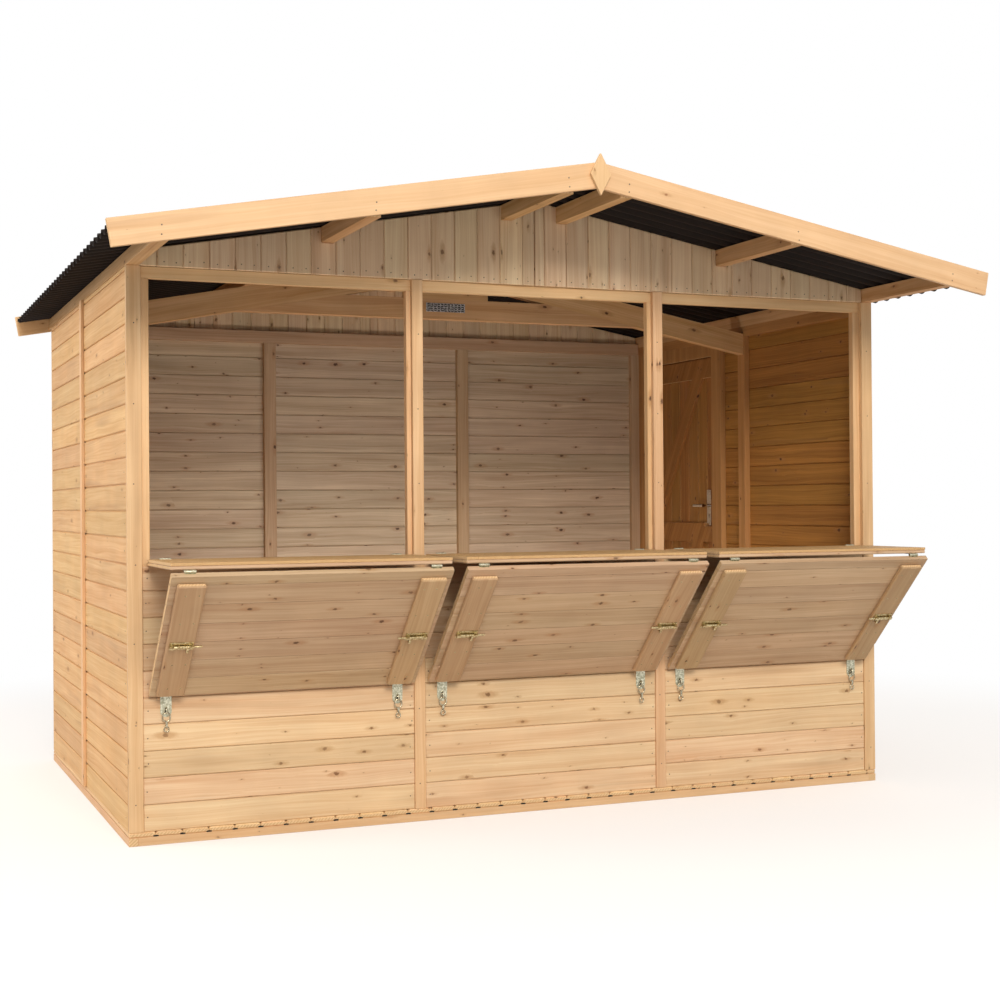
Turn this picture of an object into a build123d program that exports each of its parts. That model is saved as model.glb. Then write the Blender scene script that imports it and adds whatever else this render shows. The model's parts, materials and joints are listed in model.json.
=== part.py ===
from build123d import *
from math import acos, atan2, cos, hypot, radians, sin, tan
import os

# Wooden market stall: a framed and boarded cabin on a boarded floor, with three
# serving bays in the gable front. Millimetres, +Z up. The origin is on the ground
# under the middle of the walls, +X runs along the counter and the front faces -Y.

# Walls
WALL_LENGTH = 3010.0        # outside, along the counter
WALL_DEPTH = 2000.0         # outside, front to back
WALL_TOP = 1952.0           # top of the side walls
CLADDING = 16.0             # board thickness
FRAME_DEPTH = 28.0          # studs, posts and rails, through the wall
STUD_WIDTH = 45.0
JOINT_STUD_WIDTH = 57.0     # the pair of studs where two panels meet
TRIM_THICKNESS = 20.0
TRIM_WIDTH = 50.0           # corner boards
COVER_STRIP_WIDTH = 41.0
SIDE_STRIP_WIDTH = 45.0
SIDE_STRIP_THICKNESS = 12.0

# Floor
BEARER_HEIGHT = 28.0
BEARER_WIDTH = 31.0
CROSS_BEARERS = 5
FLOOR_THICKNESS = 17.0
FIT = 0.5                   # joint between two boards that lie end to end

# Front with its three bays
CORNER_POST_EDGE = 79.0     # from the wall's end to the inner side of the corner post
MID_POST_WIDTH = 59.0
RIGHT_BAY_SHORTER = 33.0    # than the other two
STRIP_EDGE = 2.0            # cover strip in from the right side of its post
SILL_TOP = 937.0
SILL_RAIL_HEIGHT = 45.0
HEADER_HEIGHT = 40.0
REAR_RAIL_RISE = 18.0       # over the top of the walls
GABLE_JOINT = 2.0           # from the middle to each half of the front gable

# Roof
ROOF_PITCH = 10.15          # degrees
EAVE_PURLIN_HEIGHT = 46.0   # at the outer face of the side wall
PURLIN_WIDTH = 45.0
PURLIN_HEIGHT = 58.0
MID_PURLIN_X = 800.0
RIDGE_PURLIN_X = 112.0
FRONT_OVERHANG = 540.0
REAR_OVERHANG = 115.0
EAVE_OVERHANG = 147.0
CORRUGATION_PITCH = 76.0
CORRUGATION_HEIGHT = 20.0
SHEET_THICKNESS = 3.0
SHEET_OVERHANG = 134.0      # sheet beyond the side wall
SHEET_SEAT = 0.3            # sheet over its purlins, and cap over the sheet
RIDGE_GAP = 8.0             # between the two sheets, each side of the ridge
RIDGE_CAP_LEG = 130.0
BARGE_THICKNESS = 18.0
BARGE_RISE = 35.0           # bargeboard's top above the underside of the sheet
BARGE_HEIGHT = 89.0
FINIAL_HEIGHT = 145.0
FINIAL_WIDTH = 78.0
FINIAL_THICKNESS = 15.0

# Roof truss, on the middle studs of the side walls
TRUSS_Y = -57.0
TRUSS_THICKNESS = 45.0
RAFTER_DEPTH = 95.0
RAFTER_DROP = 34.0          # its top at the wall under the top of the wall
RAFTER_SLOPE = 0.19
TIE_DROP = 24.0             # its underside under the top of the wall
TIE_HEIGHT = 86.0
KING_BOARD_WIDTH = 374.0
PACKER_WIDTH = 60.0

# Counters and flaps, which fold up together to close a bay
COUNTER_TOP = 961.0
COUNTER_BOARD = 13.0
COUNTER_SHEET = 9.0
COUNTER_FRONT = 408.0       # front edge from the wall hinge
SHUTTER_CLEARANCE = 5.2     # to cover strips and the right corner board
LEFT_CLEARANCE = 16.5       # to the left corner board
FLAP_LENGTH = 580.0
FLAP_BOARD = 18.0
FLAP_DROP = 8.0             # flap's face below the counter's top when they are in line
BATTEN_WIDTH = 93.0
BATTEN_THICKNESS = 18.0
BATTEN_INSET = 20.0         # from the side of the flap
BATTEN_START = 28.0         # from the hinged edge of the flap
BATTEN_END = 16.0           # from its free edge
REST_GAP = 7.5              # between the leaning flap and the wall
WALL_HINGE_RADIUS = 4.0
FLAP_HINGE_RADIUS = 4.5
HINGE_PLAY = 0.5
HINGE_LENGTH = 38.0
HINGE_INSET = 60.0          # middle of a hinge from the end of the counter
LEAF = 1.5                  # thickness of the hinge leaves
LEAF_REACH = 28.0           # leaf under the counter, back from its front edge
LEAF_WIDTH = 8.0            # leaf on the edge of the flap

# Bolts on the battens, hasps on the wall
BOLT_FROM_HINGE = 309.0
BOLT_INSET = 9.0            # from the outer side of its batten
BOLT_PLATE_LENGTH = 78.0
BOLT_PLATE_HEIGHT = 34.0
BOLT_PLATE = 2.0
BOLT_LIFT = 1.0             # rod over its plate
BOLT_KEEPER_WIDTH = 14.0
BOLT_ROD_RADIUS = 4.0
BOLT_ROD_LENGTH = 106.0
BOLT_KNOB_PLACE = 60.0      # from the outer end of the rod
BOLT_KNOB_LENGTH = 26.0
HASP_WIDTH = 38.0
HASP_INSET = 60.0           # middle from the side of the flap above it
HASP_UNDER_FLAP = 11.0      # top of the hasp under the leaning flap's lower edge
HASP_LENGTH = 74.0
HASP_THICKNESS = 2.0
STAPLE_RISE = 3.0           # over the middle of the hasp's round end
STAPLE_RADIUS = 11.0
STAPLE_WIRE = 2.5

# Door in the right-hand wall
DOOR_OPENING = 677.0        # width between its studs
DOOR_HINGE_STUD = 72.0      # between the opening and the rear wall's frame
DOOR_HEAD = 98.0            # from the top of the wall down to the opening
DOOR_CLEARANCE = 6.0
DOOR_BOARD = 16.0
LEDGE_THICKNESS = 18.0
LEDGE_HEIGHT = 92.0
LEDGE_INSET = 22.0
LOW_LEDGE = 130.0           # heights of the undersides of the ledges
MIDDLE_LEDGE = 950.0
TOP_LEDGE_DROP = 110.0      # under the top of the opening
JAMB_WIDTH = 74.0
DOOR_STOP = 12.0            # stops beyond the frame, into the opening
DOOR_STOP_THICKNESS = 16.0
DOOR_HINGE_RADIUS = 6.0
DOOR_HINGE_HEIGHTS = (260.0, 1650.0)
DOOR_HINGE_LENGTH = 90.0
DOOR_STRAP_LENGTH = 300.0
DOOR_STRAP_HEIGHT = 34.0
DOOR_STRAP = 3.0
HANDLE_INSET = 74.0         # spindle from the latch edge
HANDLE_OVER_LEDGE = 84.0    # spindle over the top of the middle ledge
PLATE_BELOW = 96.0          # handle plate below and above its spindle
PLATE_ABOVE = 76.0
PLATE_WIDTH = 38.0
PLATE_THICKNESS = 4.0
PLATE_CLEARANCE = 4.0       # to the ledge, which is notched for the plate
SPINDLE_RADIUS = 4.0
SPINDLE_PLAY = 1.0
LEVER_RADIUS = 8.0
LEVER_REACH = 36.0
LEVER_LENGTH = 90.0

# Places worked out from the sizes above
END = WALL_LENGTH / 2
BACK = WALL_DEPTH / 2
FLOOR_TOP = BEARER_HEIGHT + FLOOR_THICKNESS
FACE = BACK - (TRIM_THICKNESS - CLADDING)       # outer face of front and rear cladding
FRAME = BACK - TRIM_THICKNESS                   # outer face of their frames
INNER = FRAME - FRAME_DEPTH                     # inner face of their frames
DOOR_OPENING_END = INNER - DOOR_HINGE_STUD      # y of the hinge side
DOOR_OPENING_START = DOOR_OPENING_END - DOOR_OPENING
SIDE_FRAME = END - CLADDING
SIDE_INNER = SIDE_FRAME - FRAME_DEPTH
HEADER_BOTTOM = WALL_TOP - HEADER_HEIGHT
DOOR_OPENING_TOP = WALL_TOP - DOOR_HEAD
CORNER_POST_X = END - CORNER_POST_EDGE
BAY = (2 * CORNER_POST_X - 2 * MID_POST_WIDTH + RIGHT_BAY_SHORTER) / 3
MID_POST_X = BAY + MID_POST_WIDTH / 2 - CORNER_POST_X
MID_POSTS = (MID_POST_X, MID_POST_X + MID_POST_WIDTH + BAY)
STRIP_X = MID_POST_WIDTH / 2 - STRIP_EDGE - COVER_STRIP_WIDTH / 2   # from its post's middle
REAR_JOINTS = (-MID_POSTS[1], -MID_POSTS[0])    # the rear panels are the front ones turned round
SLOPE = tan(radians(ROOF_PITCH))
ROOF_AT_RIDGE = WALL_TOP + EAVE_PURLIN_HEIGHT + SLOPE * END
FRONT_END = -BACK - FRONT_OVERHANG              # outer face of the front bargeboard
REAR_END = BACK + REAR_OVERHANG
BARGE_END = END + EAVE_OVERHANG

NAMES = ("left", "middle", "right")


def roof_under(x):
    """Height of the underside of the roof sheet, on the tops of the purlins."""
    return ROOF_AT_RIDGE - SLOPE * abs(x)


def mid(span):
    """Middle of a span."""
    return (span[0] + span[1]) / 2


def block(x, y, z, mode=Mode.ADD):
    """Add, or cut away, a squared board or timber that fills three spans."""
    with Locations((mid(x), mid(y), mid(z))):
        Box(x[1] - x[0], y[1] - y[0], z[1] - z[0], mode=mode)


def cross_board(points, y):
    """Add a board that stands across the depth: an outline in X and Z, and its span in Y."""
    with BuildSketch(Plane.XZ.offset(-y[1])) as outline:
        with BuildLine():
            Polyline(*points, close=True)
        make_face()
    extrude(outline.sketch, amount=y[1] - y[0])


def around(middle, width):
    """Span of a width around its middle."""
    return (middle - width / 2, middle + width / 2)


def mirrored(span):
    """The same span on the other side of the origin."""
    return (-span[1], -span[0])


def save(piece, name):
    """Label a finished piece and write it."""
    piece.part.label = name
    export_step(piece.part, f"parts/{name}.step")


def front_strips():
    """Spans in X of the cover strips on the two middle posts."""
    return [around(x + STRIP_X, COVER_STRIP_WIDTH) for x in MID_POSTS]


def front_gaps():
    """Free spans in X between the corner boards and cover strips, one for each bay."""
    strips = front_strips()
    edges = [-END + TRIM_WIDTH, *strips[0], *strips[1], END - TRIM_WIDTH]
    return [(edges[0], edges[1]), (edges[2], edges[3]), (edges[4], edges[5])]


def bays():
    """Clear spans in X between the posts."""
    left, right = (around(x, MID_POST_WIDTH) for x in MID_POSTS)
    return [(-CORNER_POST_X, left[0]), (left[1], right[0]), (right[1], CORNER_POST_X)]


def shutter_spans():
    """Spans in X of the three shutters, each a counter and its flap."""
    left, middle, right = front_gaps()
    return [
        (left[0] + LEFT_CLEARANCE, left[1] - SHUTTER_CLEARANCE),
        (middle[0] + SHUTTER_CLEARANCE, middle[1] - SHUTTER_CLEARANCE),
        (right[0] + SHUTTER_CLEARANCE, right[1] - SHUTTER_CLEARANCE),
    ]


def make_floor():
    side = (END - BEARER_WIDTH, END)
    pitch = (WALL_DEPTH - BEARER_WIDTH) / (CROSS_BEARERS - 1)
    with BuildPart() as bearers:
        block(side, (-BACK, BACK), (0, BEARER_HEIGHT))
        block(mirrored(side), (-BACK, BACK), (0, BEARER_HEIGHT))
        for number in range(CROSS_BEARERS):
            y = -BACK + BEARER_WIDTH / 2 + number * pitch
            block((FIT - side[0], side[0] - FIT), around(y, BEARER_WIDTH), (0, BEARER_HEIGHT))
    save(bearers, "floor_bearers")

    with BuildPart() as boards:
        block((-END, END), (-BACK, BACK), (BEARER_HEIGHT, FLOOR_TOP))
    save(boards, "floor_boards")


def make_front():
    skin = (-FACE, -FRAME)
    frame = (-FRAME, -INNER)
    with BuildPart() as aprons:
        for gap in front_gaps():
            block(gap, skin, (FLOOR_TOP, SILL_TOP))
    save(aprons, "front_aprons")

    corner = (-SIDE_FRAME, -CORNER_POST_X)
    with BuildPart() as posts:
        for span in (corner, *(around(x, MID_POST_WIDTH) for x in MID_POSTS), mirrored(corner)):
            block(span, frame, (FLOOR_TOP, HEADER_BOTTOM))
    save(posts, "front_posts")

    corner_board = (END - TRIM_WIDTH, END)
    with BuildPart() as trims:
        for span in (mirrored(corner_board), *front_strips(), corner_board):
            block(span, (-BACK, -FRAME), (FLOOR_TOP, WALL_TOP))
    save(trims, "front_trims")

    with BuildPart() as sill_rails:
        for bay in bays():
            block(bay, frame, (SILL_TOP - SILL_RAIL_HEIGHT, SILL_TOP))
    save(sill_rails, "front_sill_rails")

    with BuildPart() as header:
        block((-SIDE_FRAME, SIDE_FRAME), frame, (HEADER_BOTTOM, WALL_TOP))
    save(header, "front_header")


def gable_outline(side, joint):
    """Half a gable, notched for its purlins, from its joint at the middle; side is -1 or 1."""
    points = [(joint, WALL_TOP), (joint, roof_under(joint))]
    for x in (RIDGE_PURLIN_X, MID_PURLIN_X):
        floor = roof_under(x) - PURLIN_HEIGHT
        near = x - PURLIN_WIDTH / 2
        far = x + PURLIN_WIDTH / 2
        points += [(near, roof_under(near)), (near, floor), (far, floor), (far, roof_under(far))]
    edge = END - PURLIN_WIDTH
    points += [(edge, roof_under(edge)), (edge, WALL_TOP)]
    return [(side * x, z) for x, z in points]


def make_gables():
    for name, depth, joint in (("front", (-FACE, -FRAME), GABLE_JOINT), ("rear", (FRAME, FACE), FIT)):
        with BuildPart() as gable:
            cross_board(gable_outline(-1, joint), depth)
            cross_board(gable_outline(1, joint), depth)
        save(gable, f"{name}_gable")


def make_rear_wall():
    strips = [around(x, COVER_STRIP_WIDTH) for x in REAR_JOINTS]
    edges = [-END + TRIM_WIDTH, *strips[0], *strips[1], END - TRIM_WIDTH]
    with BuildPart() as panels:
        for start in (0, 2, 4):
            block((edges[start], edges[start + 1]), (FRAME, FACE), (FLOOR_TOP, WALL_TOP))
    save(panels, "rear_wall")

    with BuildPart() as trims:
        for span in ((-END, edges[0]), *strips, (edges[5], END)):
            block(span, (FRAME, BACK), (FLOOR_TOP, WALL_TOP))
    save(trims, "rear_trims")

    with BuildPart() as rail:
        between_purlins = (PURLIN_WIDTH + FIT - END, END - PURLIN_WIDTH - FIT)
        block(between_purlins, (INNER, FRAME), (HEADER_BOTTOM, WALL_TOP + REAR_RAIL_RISE))
    save(rail, "rear_rail")


def make_side_walls():
    skin = (SIDE_FRAME, END)
    height = (FLOOR_TOP, WALL_TOP)
    with BuildPart() as left_wall:
        for span in ((-FRAME, -FIT), (FIT, FRAME)):
            block(mirrored(skin), span, height)
    save(left_wall, "left_wall")

    with BuildPart() as right_wall:
        for span in ((-FRAME, -FIT), (FIT, DOOR_OPENING_START), (DOOR_OPENING_END, FRAME)):
            block(skin, span, height)
    save(right_wall, "right_wall")

    with BuildPart() as over_door:
        block(skin, (DOOR_OPENING_START, DOOR_OPENING_END), (DOOR_OPENING_TOP, WALL_TOP))
    save(over_door, "right_wall_over_door")

    strip = (END, END + SIDE_STRIP_THICKNESS)
    with BuildPart() as side_strips:
        block(mirrored(strip), around(0, SIDE_STRIP_WIDTH), height)
        block(strip, around(0, SIDE_STRIP_WIDTH), height)
    save(side_strips, "side_cover_strips")


def make_frames():
    side = (SIDE_INNER, SIDE_FRAME)
    plate_bottom = WALL_TOP - STUD_WIDTH
    with BuildPart() as plates:
        block(mirrored(side), (-INNER, INNER), (plate_bottom, WALL_TOP))
        block(side, (-INNER, INNER), (plate_bottom, WALL_TOP))
    save(plates, "side_top_plates")

    rear_corner = (SIDE_INNER - STUD_WIDTH, SIDE_FRAME)
    with BuildPart() as rear_studs:
        for span in (mirrored(rear_corner), *(around(x, JOINT_STUD_WIDTH) for x in REAR_JOINTS),
                     rear_corner):
            block(span, (INNER, FRAME), (FLOOR_TOP, HEADER_BOTTOM))
    save(rear_studs, "rear_studs")

    front_corner = (-INNER, -INNER + STUD_WIDTH)
    under_truss = around(TRUSS_Y, JOINT_STUD_WIDTH)
    with BuildPart() as side_studs:
        for span in (front_corner, under_truss, mirrored(front_corner)):
            block(mirrored(side), span, (FLOOR_TOP, plate_bottom))
        for span in (front_corner, under_truss):
            block(side, span, (FLOOR_TOP, plate_bottom))
    save(side_studs, "side_studs")

    latch = (DOOR_OPENING_START - JAMB_WIDTH, DOOR_OPENING_START)
    hinge = (DOOR_OPENING_END, INNER)
    stop = (SIDE_INNER, SIDE_INNER + DOOR_STOP_THICKNESS)
    with BuildPart() as door_frame:
        block(side, latch, (FLOOR_TOP, plate_bottom))
        block(side, hinge, (FLOOR_TOP, plate_bottom))
        block(side, (latch[0], hinge[1]), (DOOR_OPENING_TOP, plate_bottom))
        block(stop, (latch[0], latch[1] + DOOR_STOP), (FLOOR_TOP, plate_bottom))
        block(stop, (hinge[0] - DOOR_STOP, hinge[1]), (FLOOR_TOP, plate_bottom))
        block(stop, (latch[0], hinge[1]), (DOOR_OPENING_TOP - DOOR_STOP, plate_bottom))
    save(door_frame, "door_frame")


def make_truss():
    depth = around(TRUSS_Y, TRUSS_THICKNESS)
    king = KING_BOARD_WIDTH / 2

    rafter_at_wall = WALL_TOP - RAFTER_DROP

    def rafter_top(x):
        return rafter_at_wall + RAFTER_SLOPE * (SIDE_INNER - x)

    packer = (MID_PURLIN_X - PACKER_WIDTH / 2, MID_PURLIN_X + PACKER_WIDTH / 2)
    purlin_bottom = roof_under(MID_PURLIN_X) - PURLIN_HEIGHT
    outline = [
        (SIDE_INNER, rafter_top(SIDE_INNER) - RAFTER_DEPTH),
        (SIDE_INNER, rafter_top(SIDE_INNER)),
        (packer[1], rafter_top(packer[1])),
        (packer[1], purlin_bottom),
        (packer[0], purlin_bottom),
        (packer[0], rafter_top(packer[0])),
        (king, rafter_top(king)),
        (king, rafter_top(king) - RAFTER_DEPTH),
    ]
    with BuildPart() as rafters:
        cross_board(outline, depth)
        cross_board([(-x, z) for x, z in outline], depth)
    save(rafters, "truss_rafters")

    def under_rafter(z):
        return SIDE_INNER - (z + RAFTER_DEPTH - rafter_at_wall) / RAFTER_SLOPE

    tie_bottom = WALL_TOP - TIE_DROP
    tie_top = tie_bottom + TIE_HEIGHT
    low = under_rafter(tie_bottom)
    high = under_rafter(tie_top)
    with BuildPart() as tie:
        cross_board([(-low, tie_bottom), (low, tie_bottom), (high, tie_top), (-high, tie_top)], depth)
    save(tie, "truss_tie")

    top = roof_under(RIDGE_PURLIN_X) - PURLIN_HEIGHT
    with BuildPart() as king_board:
        block((-king, king), depth, (tie_top, top))
    save(king_board, "truss_king_board")


def make_purlins():
    length = (FRONT_END + BARGE_THICKNESS, REAR_END - BARGE_THICKNESS)
    places = [
        (END - PURLIN_WIDTH, END, WALL_TOP),
        (*around(MID_PURLIN_X, PURLIN_WIDTH), roof_under(MID_PURLIN_X) - PURLIN_HEIGHT),
        (*around(RIDGE_PURLIN_X, PURLIN_WIDTH), roof_under(RIDGE_PURLIN_X) - PURLIN_HEIGHT),
    ]
    with BuildPart() as purlins:
        for near, far, bottom in places:
            outline = [(near, bottom), (far, bottom), (far, roof_under(far)), (near, roof_under(near))]
            cross_board(outline, length)
            cross_board([(-x, z) for x, z in outline], length)
    save(purlins, "roof_purlins")


def wave(length, level):
    """Add a wavy line of round crests and hollows from end to end, at a level."""
    count = 2 * round(length / CORRUGATION_PITCH)
    half = length / count
    for number in range(count):
        x = number * half - length / 2
        swing = CORRUGATION_HEIGHT / 2 * (1 if number % 2 == 0 else -1)
        ThreePointArc((x, level), (x + half / 2, level + swing), (x + half, level))


def make_roof():
    span = REAR_END - FRONT_END - 2 * BARGE_THICKNESS
    middle = (REAR_END + FRONT_END) / 2
    pitch = radians(ROOF_PITCH)
    run = (END + SHEET_OVERHANG - RIDGE_GAP) / cos(pitch)
    width = span - 2 * SHEET_SEAT
    for name, side in (("left", -1), ("right", 1)):
        start = (side * RIDGE_GAP, middle, roof_under(RIDGE_GAP) + SHEET_SEAT)
        down = Plane(origin=start, x_dir=(0, 1, 0), z_dir=(side * cos(pitch), 0, -sin(pitch)))
        low = side * CORRUGATION_HEIGHT / 2
        high = side * (CORRUGATION_HEIGHT / 2 + SHEET_THICKNESS)
        with BuildPart() as sheet:
            with BuildSketch(down):
                with BuildLine():
                    wave(width, low)
                    wave(width, high)
                    Line((-width / 2, low), (-width / 2, high))
                    Line((width / 2, low), (width / 2, high))
                make_face()
            extrude(amount=run)
        save(sheet, f"roof_sheet_{name}")

    rise = (CORRUGATION_HEIGHT + SHEET_THICKNESS) / cos(pitch)
    under = roof_under(0) + rise + 2 * SHEET_SEAT
    over = under + SHEET_THICKNESS / cos(pitch)
    drop = SLOPE * RIDGE_CAP_LEG
    with BuildPart() as ridge_cap:
        cross_board([
            (0, under), (RIDGE_CAP_LEG, under - drop), (RIDGE_CAP_LEG, over - drop),
            (0, over), (-RIDGE_CAP_LEG, over - drop), (-RIDGE_CAP_LEG, under - drop),
        ], around(middle, width))
    save(ridge_cap, "ridge_cap")


def make_bargeboards():
    pitch = radians(ROOF_PITCH)
    top = roof_under(0) + BARGE_RISE
    bottom = top - BARGE_HEIGHT
    lean = BARGE_HEIGHT * cos(pitch) * sin(pitch)
    end_top = (BARGE_END, top - SLOPE * BARGE_END)
    end_bottom = (BARGE_END - lean, bottom - SLOPE * (BARGE_END - lean))
    outline = [(FIT, bottom - SLOPE * FIT), end_bottom, end_top, (FIT, top - SLOPE * FIT)]
    centre = top - BARGE_HEIGHT / 2
    half = FINIAL_HEIGHT / 2
    side = FINIAL_WIDTH / 2
    diamond = [(0, centre - half), (side, centre), (0, centre + half), (-side, centre)]
    ends = (("front", FRONT_END, 1), ("rear", REAR_END, -1))
    for name, face, inward in ends:
        depth = sorted((face, face + inward * BARGE_THICKNESS))
        with BuildPart() as boards:
            cross_board(outline, depth)
            cross_board([(-x, z) for x, z in outline], depth)
        save(boards, f"{name}_bargeboards")
    with BuildPart() as finials:
        for name, face, inward in ends:
            cross_board(diamond, sorted((face, face - inward * FINIAL_THICKNESS)))
    save(finials, "finials")


# Counters and flaps. The wall hinge is level with the counter's top, in the plane of the
# cladding's face. The flap hinge is below the front edge of the counter.
COUNTER_THICKNESS = COUNTER_BOARD + COUNTER_SHEET
HINGE_Z = COUNTER_TOP
HINGE_Y = -FACE
COUNTER_BACK = HINGE_Y - WALL_HINGE_RADIUS - HINGE_PLAY
FLAP_START = FLAP_HINGE_RADIUS + HINGE_PLAY         # flap's edge from its hinge
FLAP_HINGE_Y = HINGE_Y - COUNTER_FRONT - FLAP_START
FLAP_UNDER = 1.0                                    # flap's closing face from its hinge
FLAP_HINGE_Z = COUNTER_TOP - FLAP_DROP - FLAP_BOARD - FLAP_UNDER
FLAP_END = FLAP_START + FLAP_LENGTH

# Turn from the flap in line with its counter to the flap leaning at the wall
reach = hypot(FLAP_END, FLAP_UNDER)
LEAN = atan2(FLAP_UNDER, FLAP_END) + acos(-(HINGE_Y - FLAP_HINGE_Y - REST_GAP) / reach)
FLAP_PLANE = Plane(origin=(0, FLAP_HINGE_Y, FLAP_HINGE_Z), x_dir=(1, 0, 0),
                   z_dir=(0, -sin(LEAN), cos(LEAN)))


def flap_block(x, along, out):
    """Add a board on the flap: spans in X, from the hinge along the flap, and outwards."""
    with BuildSketch(FLAP_PLANE.offset(out[0])) as outline:
        with Locations((mid(x), -mid(along))):
            Rectangle(x[1] - x[0], along[1] - along[0])
    extrude(outline.sketch, amount=out[1] - out[0])


def rod(plane, radius, length):
    """Add a round rod that starts at a plane."""
    with BuildSketch(plane) as outline:
        Circle(radius)
    extrude(outline.sketch, amount=length)


def x_rod(x, y, z, radius):
    """Add a round rod along X."""
    rod(Plane(origin=(x[0], y, z), x_dir=(0, 1, 0), z_dir=(1, 0, 0)), radius, x[1] - x[0])


def make_counter(name, x):
    front = HINGE_Y - COUNTER_FRONT
    underside = COUNTER_TOP - COUNTER_THICKNESS
    seam = COUNTER_TOP - COUNTER_SHEET
    with BuildPart() as boards:
        block(x, (front, COUNTER_BACK), (underside, seam))
    save(boards, f"counter_{name}_boards")

    with BuildPart() as top:
        block(x, (front, COUNTER_BACK), (seam, COUNTER_TOP))
    save(top, f"counter_{name}_top")

    with BuildPart() as leaves:
        for span in hinge_spans(x):
            leaf = (span[0] + LEAF, span[1] - LEAF)
            block(leaf, (front - LEAF, front + LEAF_REACH), (underside - LEAF, underside))
    save(leaves, f"counter_{name}_leaves")


def hinge_spans(x):
    """Spans in X of the two hinges of a shutter."""
    return [around(x[0] + HINGE_INSET, HINGE_LENGTH), around(x[1] - HINGE_INSET, HINGE_LENGTH)]


def batten_spans(x):
    """Spans in X of a flap's two battens."""
    left = (x[0] + BATTEN_INSET, x[0] + BATTEN_INSET + BATTEN_WIDTH)
    right = (x[1] - BATTEN_INSET - BATTEN_WIDTH, x[1] - BATTEN_INSET)
    return [left, right]


def make_flap(name, x):
    outer = FLAP_UNDER + FLAP_BOARD
    face = outer + BATTEN_THICKNESS
    with BuildPart() as flap:
        flap_block(x, (FLAP_START, FLAP_END), (FLAP_UNDER, outer))
        for batten in batten_spans(x):
            flap_block(batten, (FLAP_START + BATTEN_START, FLAP_END - BATTEN_END), (outer, face))
    save(flap, f"flap_{name}")

    rod_level = face + BOLT_PLATE + BOLT_LIFT + BOLT_ROD_RADIUS
    with BuildPart() as ironwork:
        for span in hinge_spans(x):
            x_rod(span, FLAP_HINGE_Y, FLAP_HINGE_Z, FLAP_HINGE_RADIUS)
            leaf = (span[0] + LEAF, span[1] - LEAF)
            flap_block(leaf, (FLAP_START - LEAF, FLAP_START), (-FLAP_UNDER, LEAF_WIDTH - FLAP_UNDER))
        left, right = batten_spans(x)
        for start, inward in ((left[0] + BOLT_INSET, 1), (right[1] - BOLT_INSET, -1)):
            middle = start + inward * BOLT_PLATE_LENGTH / 2
            flap_block(around(middle, BOLT_PLATE_LENGTH), around(BOLT_FROM_HINGE, BOLT_PLATE_HEIGHT),
                       (face, face + BOLT_PLATE))
            half = (BOLT_PLATE_LENGTH - BOLT_KEEPER_WIDTH) / 2
            for keeper in (middle - half, middle + half):
                flap_block(around(keeper, BOLT_KEEPER_WIDTH),
                           around(BOLT_FROM_HINGE, 2 * (BOLT_ROD_RADIUS + BOLT_PLATE)),
                           (face + BOLT_PLATE, rod_level + BOLT_ROD_RADIUS + BOLT_PLATE))
            end = start + inward * BOLT_ROD_LENGTH
            at = FLAP_PLANE.from_local_coords((min(start, end), -BOLT_FROM_HINGE, rod_level))
            rod(Plane(origin=at, x_dir=FLAP_PLANE.z_dir, z_dir=(1, 0, 0)), BOLT_ROD_RADIUS, BOLT_ROD_LENGTH)
            knob = start + inward * BOLT_KNOB_PLACE
            flap_block(around(knob, 2 * BOLT_ROD_RADIUS),
                       (BOLT_FROM_HINGE, BOLT_FROM_HINGE + BOLT_KNOB_LENGTH),
                       (rod_level - BOLT_ROD_RADIUS, rod_level + BOLT_ROD_RADIUS))
    save(ironwork, f"flap_{name}_ironwork")


def make_wall_ironwork(shutters):
    with BuildPart() as hinges:
        for x in shutters:
            for span in hinge_spans(x):
                x_rod(span, HINGE_Y, HINGE_Z, WALL_HINGE_RADIUS)
                leaf = (span[0] + LEAF, span[1] - LEAF)
                block(leaf, (HINGE_Y, HINGE_Y + LEAF), (SILL_TOP, HINGE_Z))
                block(leaf, (HINGE_Y, -INNER), (SILL_TOP, SILL_TOP + LEAF))
    save(hinges, "counter_hinges")

    face = -FACE - HASP_THICKNESS
    hasp_top = FLAP_HINGE_Z - FLAP_END * sin(LEAN) - HASP_UNDER_FLAP
    round_end = hasp_top - HASP_LENGTH + HASP_WIDTH / 2
    with BuildPart() as hasps:
        for x in shutters:
            for middle in (x[0] + HASP_INSET, x[1] - HASP_INSET):
                block(around(middle, HASP_WIDTH), (face, -FACE), (round_end, hasp_top))
                end = Plane(origin=(middle, face, round_end), x_dir=(1, 0, 0), z_dir=(0, 1, 0))
                rod(end, HASP_WIDTH / 2, HASP_THICKNESS)
                foot = (middle, face, round_end + STAPLE_RISE)
                with BuildSketch(Plane(origin=foot, x_dir=(1, 0, 0), z_dir=(0, -1, 0))) as wire:
                    with Locations((0, STAPLE_RADIUS)):
                        Circle(STAPLE_WIRE)
                pivot = Axis(foot, (1, 0, 0))
                revolve(wire.sketch, axis=pivot, revolution_arc=180)
    save(hasps, "wall_hasps")


def make_shutters():
    shutters = shutter_spans()
    for name, x in zip(NAMES, shutters):
        make_counter(name, x)
        make_flap(name, x)
    make_wall_ironwork(shutters)


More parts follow.
